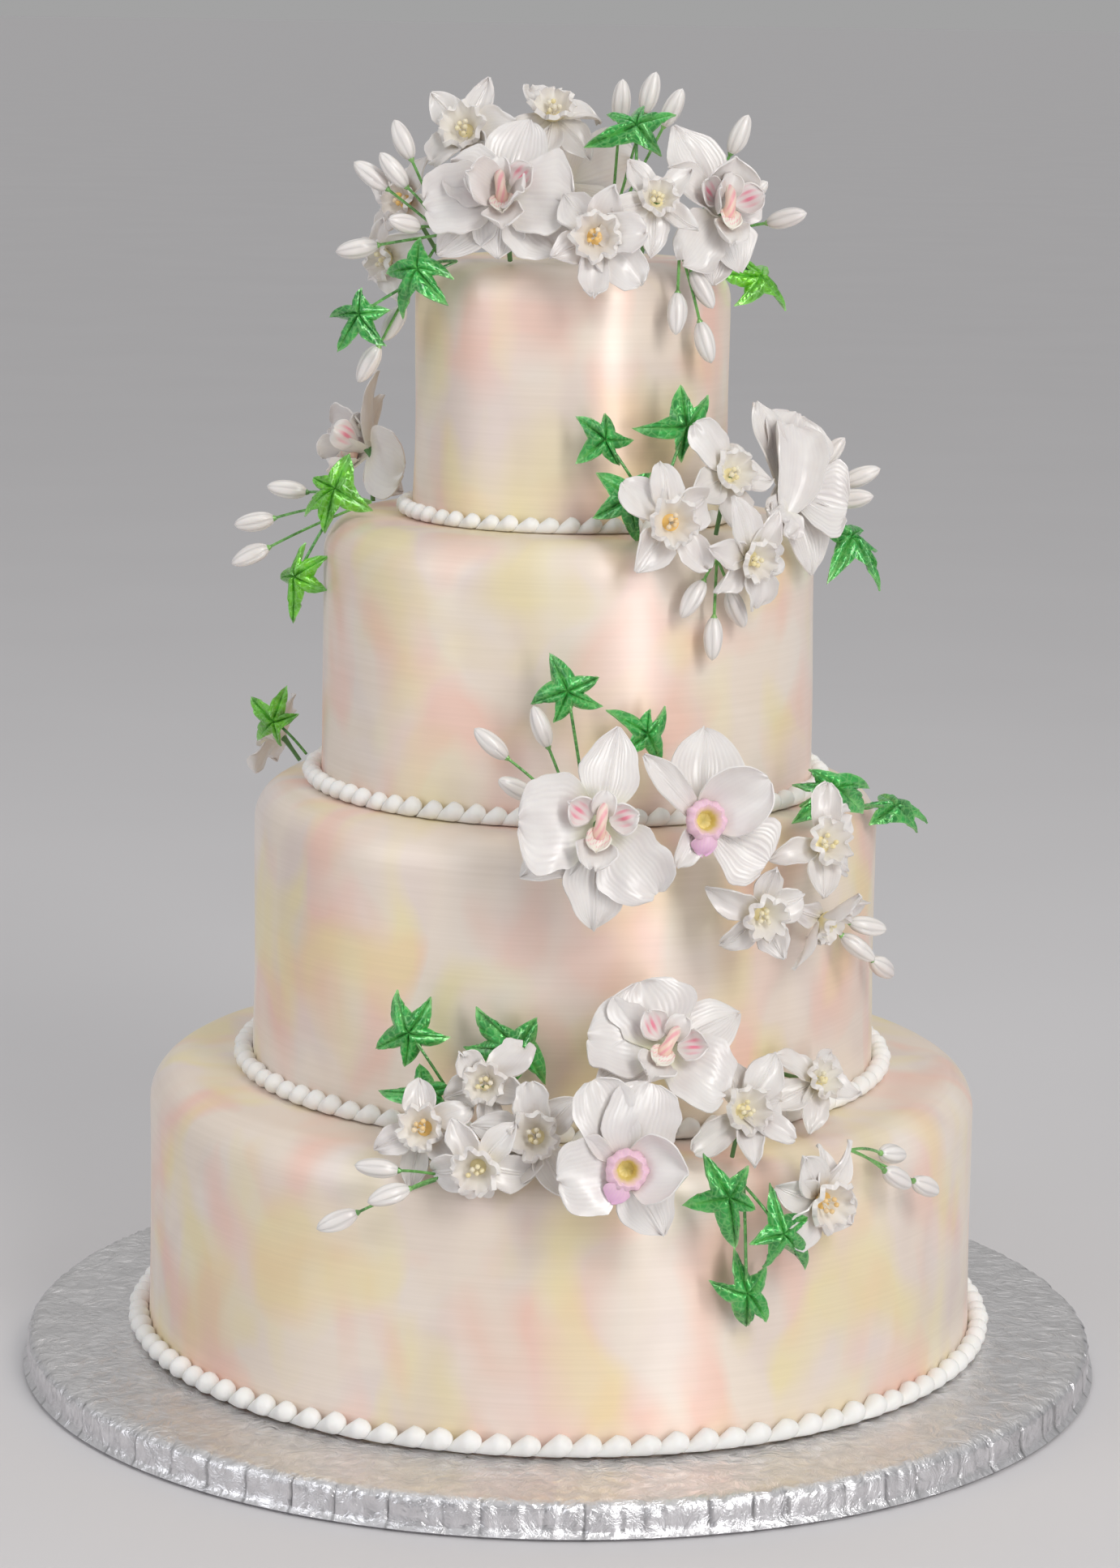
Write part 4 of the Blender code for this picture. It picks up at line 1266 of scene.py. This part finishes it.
# %% [markdown]
# ## The ivy
# The ivy leaves were cut from green paste, with long lobes and deep bays between them.
# A row of the table gives a sprig's root in millimetres and then its leaves: the place
# of each one, how far it is turned to the right and tilted up, and where its lobes
# point and how long they are. One leaf cutter would be simpler, but the leaves on the
# cake were bent and trimmed one by one.

# %% Name the ivy leaves and their lobes
IVY = {
    "ivy_crown_top": ((30, -28, 562), (
        ((29, -31, 621), 5, 35, ((32, 23), (84, 15), (137, 17), (204, 26), (310, 17))),)),
    "ivy_crown_left": ((-56, -44, 557), (
        ((-73, -62, 554), -25, 15, ((4, 15), (108, 16), (183, 21), (233, 24), (313, 22))),
        ((-101, -52, 532), -20, 5, ((3, 13), (107, 12), (173, 18), (235, 24), (297, 19))))),
    "ivy_crown_right": ((60, 8, 566), (
        ((90, 2, 548), 35, 25, ((42, 13), (115, 13), (177, 19), (235, 17), (327, 22))),)),
    "ivy_shoulder_left": ((40, -94, 441), (
        ((16, -95, 478), 0, 5, ((84, 12), (131, 17), (227, 18), (290, 14), (345, 13))),
        ((27, -106, 452), 5, 5, ((50, 16), (135, 18), (216, 19), (282, 23), (350, 13))),
        ((54, -88, 484), 15, 5, ((39, 19), (104, 19), (195, 23), (254, 17), (320, 14))))),
    "ivy_shoulder_right": ((108, 10, 437), (
        ((138, -4, 421), 30, 35, ((38, 13), (150, 14), (227, 24), (304, 29), (341, 20))),)),
    "ivy_left": ((-113, -16, 437), (
        ((-114, -26, 445), -20, 10, ((77, 18), (167, 15), (205, 24), (254, 23), (319, 19))),
        ((-133, -22, 401), -35, 5, ((41, 20), (100, 16), (180, 14), (268, 24), (329, 16))))),
    "ivy_back_left": ((-132, 30, 303), (
        ((-147, 30, 319), -30, 10, ((150, 24), (212, 19), (88, 19), (278, 12), (22, 12))),)),
    "ivy_third_upper": ((10, -140, 306), (
        ((0, -144, 366), 0, 5, ((20, 16), (108, 19), (192, 18), (258, 16), (326, 18))),
        ((37, -140, 346), 10, 5, ((39, 15), (90, 11), (138, 20), (230, 14), (297, 17))))),
    "ivy_third_right": ((112, -96, 304), (
        ((128, -98, 313), 30, 20, ((12, 22), (135, 15), (170, 20), (208, 27), (339, 22))),
        ((160, -44, 293), 40, 50, ((80, 14), (161, 18), (193, 17), (331, 18), (356, 24))))),
    "ivy_base_left": ((-46, -164, 168), (
        ((-71, -163, 207), -15, 5, ((49, 19), (127, 20), (207, 20), (270, 17), (345, 18))),
        ((-20, -168, 203), -5, 0, ((62, 15), (153, 26), (201, 27), (258, 26), (313, 23))),
        ((-63, -174, 181), -20, 20, ((18, 13), (115, 15), (196, 25), (270, 16), (330, 14))))),
    "ivy_base_right": ((84, -206, 148), (
        ((76, -228, 149), 16, 5, ((46, 17), (123, 22), (188, 20), (277, 27), (330, 16))),
        ((101, -214, 128), 28, 0, ((30, 16), (104, 22), (180, 16), (260, 18), (324, 28))),
        ((86, -206, 97), 20, 0, ((29, 16), (114, 20), (172, 17), (268, 19), (315, 21))))),
}
SIDE_SPRIGS = ("ivy_left", "ivy_back_left", "ivy_crown_right")
print(sum(len(leaves) for root, leaves in IVY.values()), "leaves on", len(IVY), "sprigs")

# %% [markdown]
# ## Glazed leaves
# The leaves were pressed on a veiner and brushed with glaze and green lustre. A Voronoi
# texture gives the net of fine veins: it splits the leaf in small cells, and the
# distance to the edge between two cells is the height of the relief and the place of
# the light lines. The veins could be modelled, but they are only a few tenths of a
# millimetre wide. The leaves at the sides of the cake are brighter than the others.

# %% Mix the leaf finish
DEEP_GREEN = np.array((0.023, 0.36, 0.058))
BRIGHT_GREEN = np.array((0.15, 0.55, 0.008))
VEIN_LIGHT = np.array((0.50, 0.90, 0.40))
VEIN_GREEN = (0.30, 0.72, 0.22)
VEIN_SCALE = 300.0


def leaf_finish():
    """The leaf's paint under dark and light clouds, with a net of veins in colour and relief."""
    material, net, shader = new_finish("glazed_leaf", 0.28, metallic=0.30, coat=0.7, coat_roughness=0.14)
    clouds = add_noise(net, 90.0)
    shade = add_ramp(net, clouds, ((0.34, (0.42, 0.55, 0.45)), (0.62, (1.2, 1.2, 1.1))))
    panels = add_mix(net, 0.9, add_paint(net), shade, "MULTIPLY")
    place = net.nodes.new("ShaderNodeTexCoord")
    veins = net.nodes.new("ShaderNodeTexVoronoi")
    veins.feature = "DISTANCE_TO_EDGE"
    veins.inputs["Scale"].default_value = VEIN_SCALE
    net.links.new(place.outputs["Object"], veins.inputs["Vector"])
    light = add_ramp(net, veins.outputs["Distance"], ((0.02, (0.35, 0.35, 0.35)), (0.14, BLACK)))
    net.links.new(add_mix(net, light, panels, VEIN_GREEN), shader.inputs["Base Color"])
    add_bump(net, shader, veins.outputs["Distance"], 0.5, 0.0014)
    return material


leaf_material = leaf_finish()
print("mixed", leaf_material.name)

# %% [markdown]
# ## The shape of a leaf
# The outline goes round the leaf from bay to tip to bay. The edges of a lobe are nearly
# straight and swell a little, and the tip leans to one side. The leaf then grows from
# its middle to the outline, ring by ring, so the veins can be sunk along each lobe and
# the panels between them puffed up. A flat cut-out with a bent mesh would lose both.

# %% Make the ivy
LEAF_GAP = 0.46
NARROW_GAP = 1.25
LEAF_SWELL = 0.05
LEAF_CURVE = 15.0
LEAF_WIRE = (0.10, 0.32, 0.08)


def leaf_outline(lobes, hand, steps=12):
    """Outline points of a leaf in millimetres, and how near each one is to a lobe's tip."""
    lobes = sorted(lobes)
    leans = [reach * math.sin(math.radians(hand.uniform(-LEAF_CURVE, LEAF_CURVE)))
             for angle, reach in lobes]
    points = []
    tips = []
    for number, (angle, reach) in enumerate(lobes):
        # the bay between this lobe and the next one, less deep where they stand close
        after, beyond = lobes[(number + 1) % len(lobes)]
        after += 360 if after <= angle else 0
        valley = min(reach, beyond) * LEAF_GAP * (NARROW_GAP if after - angle < 50 else 1.0)
        middle = math.radians((angle + after) / 2)
        bay = np.array((math.cos(middle), math.sin(middle))) * valley
        # down from this lobe's tip into the bay, and up to the next tip
        for half, (start, tall) in enumerate(((angle, reach), (after, beyond))):
            way = math.radians(start)
            tip = np.array((math.cos(way), math.sin(way))) * tall
            swell = bay / valley * LEAF_SWELL * tall
            curve = np.array((-math.sin(way), math.cos(way))) * leans[(number + half) % len(lobes)]
            for step in range(steps):
                share = step / steps
                near = 1 - share if half == 0 else share
                points.append(bay + (tip - bay) * near + swell * math.sin(math.pi * near) + curve * near**2)
                tips.append(near)
    return np.array(points), np.array(tips)


def add_leaf(sprig, matrix, lobes, green, hand):
    """One leaf: drooping tips, sunk veins, puffed panels, fine ribs and a wavy edge."""
    outline, tips = leaf_outline(lobes, hand)
    rows = 12
    columns = len(outline)
    share = np.linspace(0.02, 1, rows)[:, None]
    reach = np.linalg.norm(outline, axis=1)[None, :]
    droop = -0.010 * (reach * share) ** 2 * np.where(tips > 0.4, 1, 0.3)[None, :]
    vein = np.exp(-((1 - tips[None, :]) * share / 0.13) ** 2)
    puff = np.sin(math.pi * share**0.8) * (1 - tips[None, :]) * 3.0
    ribs = np.abs(np.sin(share * math.pi * 5 + tips[None, :] * 3.0))
    wave = np.sin(math.tau * 2 * np.arange(columns) / columns + hand.uniform(0, 6))[None, :]
    curl = share**3 * np.sin(math.tau * 5 * np.arange(columns) / columns + hand.uniform(0, 6))[None, :]
    rise = 1.5 * (1 - share) + droop + puff - vein * 1.2 - (1 - ribs) * 0.35
    rise = rise + 2.2 * share**2 * wave + 1.2 * curl
    # the outline shrinks towards the middle, and the rise lifts each ring
    flat = outline[None, :, :] * share[..., None]
    grid = np.concatenate([flat, rise[..., None]], axis=2) * MM
    points, faces = thin_solid(grid, np.full(rows, 0.9 * MM), closed=True)
    size = rows * columns
    faces.append(tuple(reversed(range(columns))))
    faces.append(tuple(size + column for column in range(columns)))
    faces = [face for face in faces if len(face) > 4 or not inner_rim(face, columns, size)]
    paint = blend(green, VEIN_LIGHT, vein * 0.32 + (share > 0.95) * 0.25 + (1 - ribs) * 0.10)
    sprig.add(placed(points, matrix), faces, np.concatenate([paint.reshape(-1, 3)] * 2), 0)


def inner_rim(face, columns, size):
    """True for the rim faces round the tiny hole in a leaf's middle, which caps close."""
    return all(corner < columns or size <= corner < size + columns for corner in face)


def make_ivy(node, root, leaves):
    """One sprig: its leaves, and a wire to each from the sprig's root."""
    hand = random.Random(node)
    sprig = Gathering()
    start = Vector(root) * MM
    green = BRIGHT_GREEN if node in SIDE_SPRIGS else DEEP_GREEN
    for place, turn, tilt, lobes in leaves:
        matrix = flower_matrix(place, turn, tilt)
        add_leaf(sprig, matrix, lobes, green, hand)
        back = matrix @ Vector((0, 0, 1 * MM))
        points, faces = rod(bow(start, back, (0, -2 * MM, 1.5 * MM)), 0.8 * MM, 6)
        sprig.add(points, faces, LEAF_WIRE, 0)
    piece = sprig.make(node.replace("ivy_", "ivy_sprig_"), [leaf_material], sharp=60)
    return finish_piece(piece, node)


for node, (root, leaves) in IVY.items():
    ivy = make_ivy(node, root, leaves)
print(len(IVY), "sprigs of ivy, the last with", len(ivy.data.polygons), "faces")

# %% [markdown]
# ## The buds
# The buds are fat pearl spindles with blunt ends and a few raised ridges where the
# petals are furled. Each sits on its own fine green wire, and the wires of a spray
# meet where it is pushed into the cake. A row of the table gives that root and the
# middle of each bud, in millimetres. A bud is turned from rings, as a tier is, and each
# points away from its root, so no angles are needed. A stretched ball would be quicker,
# but it would have pointed ends and no ridges.

# %% Make the buds
BUDS = {
    "buds_crown_left": ((-62, -50, 570), (
        (-82, -44, 614), (-97, -46, 597), (-86, -52, 600), (-80, -70, 576),
        (-103, -54, 563), (-86, -38, 527), (-98, -40, 507))),
    "buds_crown_top": ((18, 4, 570), ((22, -1, 633), (36, -1, 637), (47, -6, 630))),
    "buds_crown_right": ((56, -14, 566), ((79, -18, 618), (102, -30, 579), (85, -28, 590))),
    "buds_crown_front": ((50, -66, 566), ((61, -68, 547), (49, -76, 536), (63, -67, 522))),
    "buds_shoulder_right": ((106, 0, 437), ((128, -2, 463), (143, -2, 452), (139, -10, 442))),
    "buds_shoulder_low": ((69, -112, 424), ((58, -118, 406), (68, -114, 387), (79, -105, 400))),
    "buds_left": ((-98, -4, 436), ((-140, 2, 441), (-156, 0, 425), (-158, 0, 408))),
    "buds_third_left": ((4, -146, 306), ((-35, -146, 341), (-12, -145, 349), (-23, -162, 323))),
    "buds_third_right": ((120, -102, 252), ((146, -92, 245), (141, -100, 236), (156, -60, 217))),
    "buds_base_left": ((-52, -206, 150), ((-84, -204, 153), (-78, -214, 143), (-102, -205, 128))),
    "buds_base_right": ((134, -180, 158), ((156, -154, 149), (158, -160, 139), (173, -142, 130))),
}
BUD_LENGTH = 21.0 * MM
BUD_RADIUS = 4.4 * MM
BUD_ROWS = 17
BUD_SIDES = 36
BUD_WIRE = (0.16, 0.40, 0.10)
BUD_CUP = (0.25, 0.48, 0.16)


def add_bud(spray, root, middle, hand):
    """One bud with its furled ridges, its wire and the small green cup between the two."""
    way = (middle - root).normalized()
    turn = way.to_track_quat("Z", "Y").to_matrix()
    first = hand.uniform(0, math.tau)
    rings = []
    paint = []
    for row in range(BUD_ROWS):
        share = row / (BUD_ROWS - 1)
        round_off = (1 - abs(2 * share - 1) ** 2.1) ** 0.62
        radius = BUD_RADIUS * round_off * (1.08 - 0.16 * share) + 0.15 * MM
        ring = []
        for side in range(BUD_SIDES):
            angle = math.tau * side / BUD_SIDES
            ridge = max(0.0, math.cos((angle - first - share * 0.5) * 1.5)) ** 10
            furrow = max(0.0, math.cos(angle * 6 + first + share * 1.5)) ** 3
            swell = 1 + 0.14 * ridge * round_off - 0.11 * furrow
            # painted shade: the bud's colour is darker in each furrow and a little lighter elsewhere
            paint.append(PEARL * (1.04 - 0.22 * furrow))
            spot = Vector((math.cos(angle) * radius * swell, math.sin(angle) * radius * swell,
                           (share - 0.5) * BUD_LENGTH))
            ring.append(tuple(middle + turn @ spot))
        rings.append(ring)
    spray.add(*ring_solid(rings), np.array(paint), 0)
    base = middle - way * BUD_LENGTH * 0.47
    points, faces = rod(bow(root, base, Vector((0, -1, 1)) * hand.uniform(0, 2) * MM), 0.75 * MM, 6)
    spray.add(points, faces, BUD_WIRE, 1)
    cup = [base - way * 1.5 * MM, base, base + way * 2 * MM]
    points, faces = rod(cup, [0.8 * MM, 1.6 * MM, 1.2 * MM], 8)
    spray.add(points, faces, BUD_CUP, 1)


def make_buds(node, root, middles):
    """One spray of buds that share a root."""
    hand = random.Random(node)
    spray = Gathering()
    for middle in middles:
        add_bud(spray, Vector(root) * MM, Vector(middle) * MM, hand)
    piece = spray.make(node.replace("buds_", "bud_spray_"), [petal_material, leaf_material])
    return finish_piece(piece, node)


for node, (root, middles) in BUDS.items():
    buds = make_buds(node, root, middles)
print(len(BUDS), "sprays of buds, the last with", len(buds.data.polygons), "faces")

# %% [markdown]
# ## The floor
# The cake stands on a plain pale floor that is not part of it. It could end in a
# curved backdrop, as in a studio, but one large flat face is enough: it reaches so far
# that it meets the sky in the distance, where both are of the same grey. A faint noise
# keeps it from looking like paper.

# %% Lay the floor
FLOOR_REACH = 400.0
FLOOR_DROP = 0.5 * MM


def lay_floor():
    """One large face, a hair below the board, that is stage and not cake."""
    mesh = bpy.data.meshes.new("floor")
    corners = [(x * FLOOR_REACH, y * FLOOR_REACH, -FLOOR_DROP)
               for x, y in ((-1, -1), (1, -1), (1, 1), (-1, 1))]
    mesh.from_pydata(corners, [], [(0, 1, 2, 3)])
    floor = bpy.data.objects.new("floor", mesh)
    bpy.context.scene.collection.objects.link(floor)
    material, net, shader = new_finish("pale_floor", 0.6)
    tone = add_noise(net, 3.0)
    net.links.new(add_ramp(net, tone, ((0.3, (0.655, 0.64, 0.65)), (0.7, (0.67, 0.655, 0.665)))),
                  shader.inputs["Base Color"])
    mesh.materials.append(material)
    return floor


floor = lay_floor()
print("floor lies at", round(floor.data.vertices[0].co.z / MM, 1), "mm")
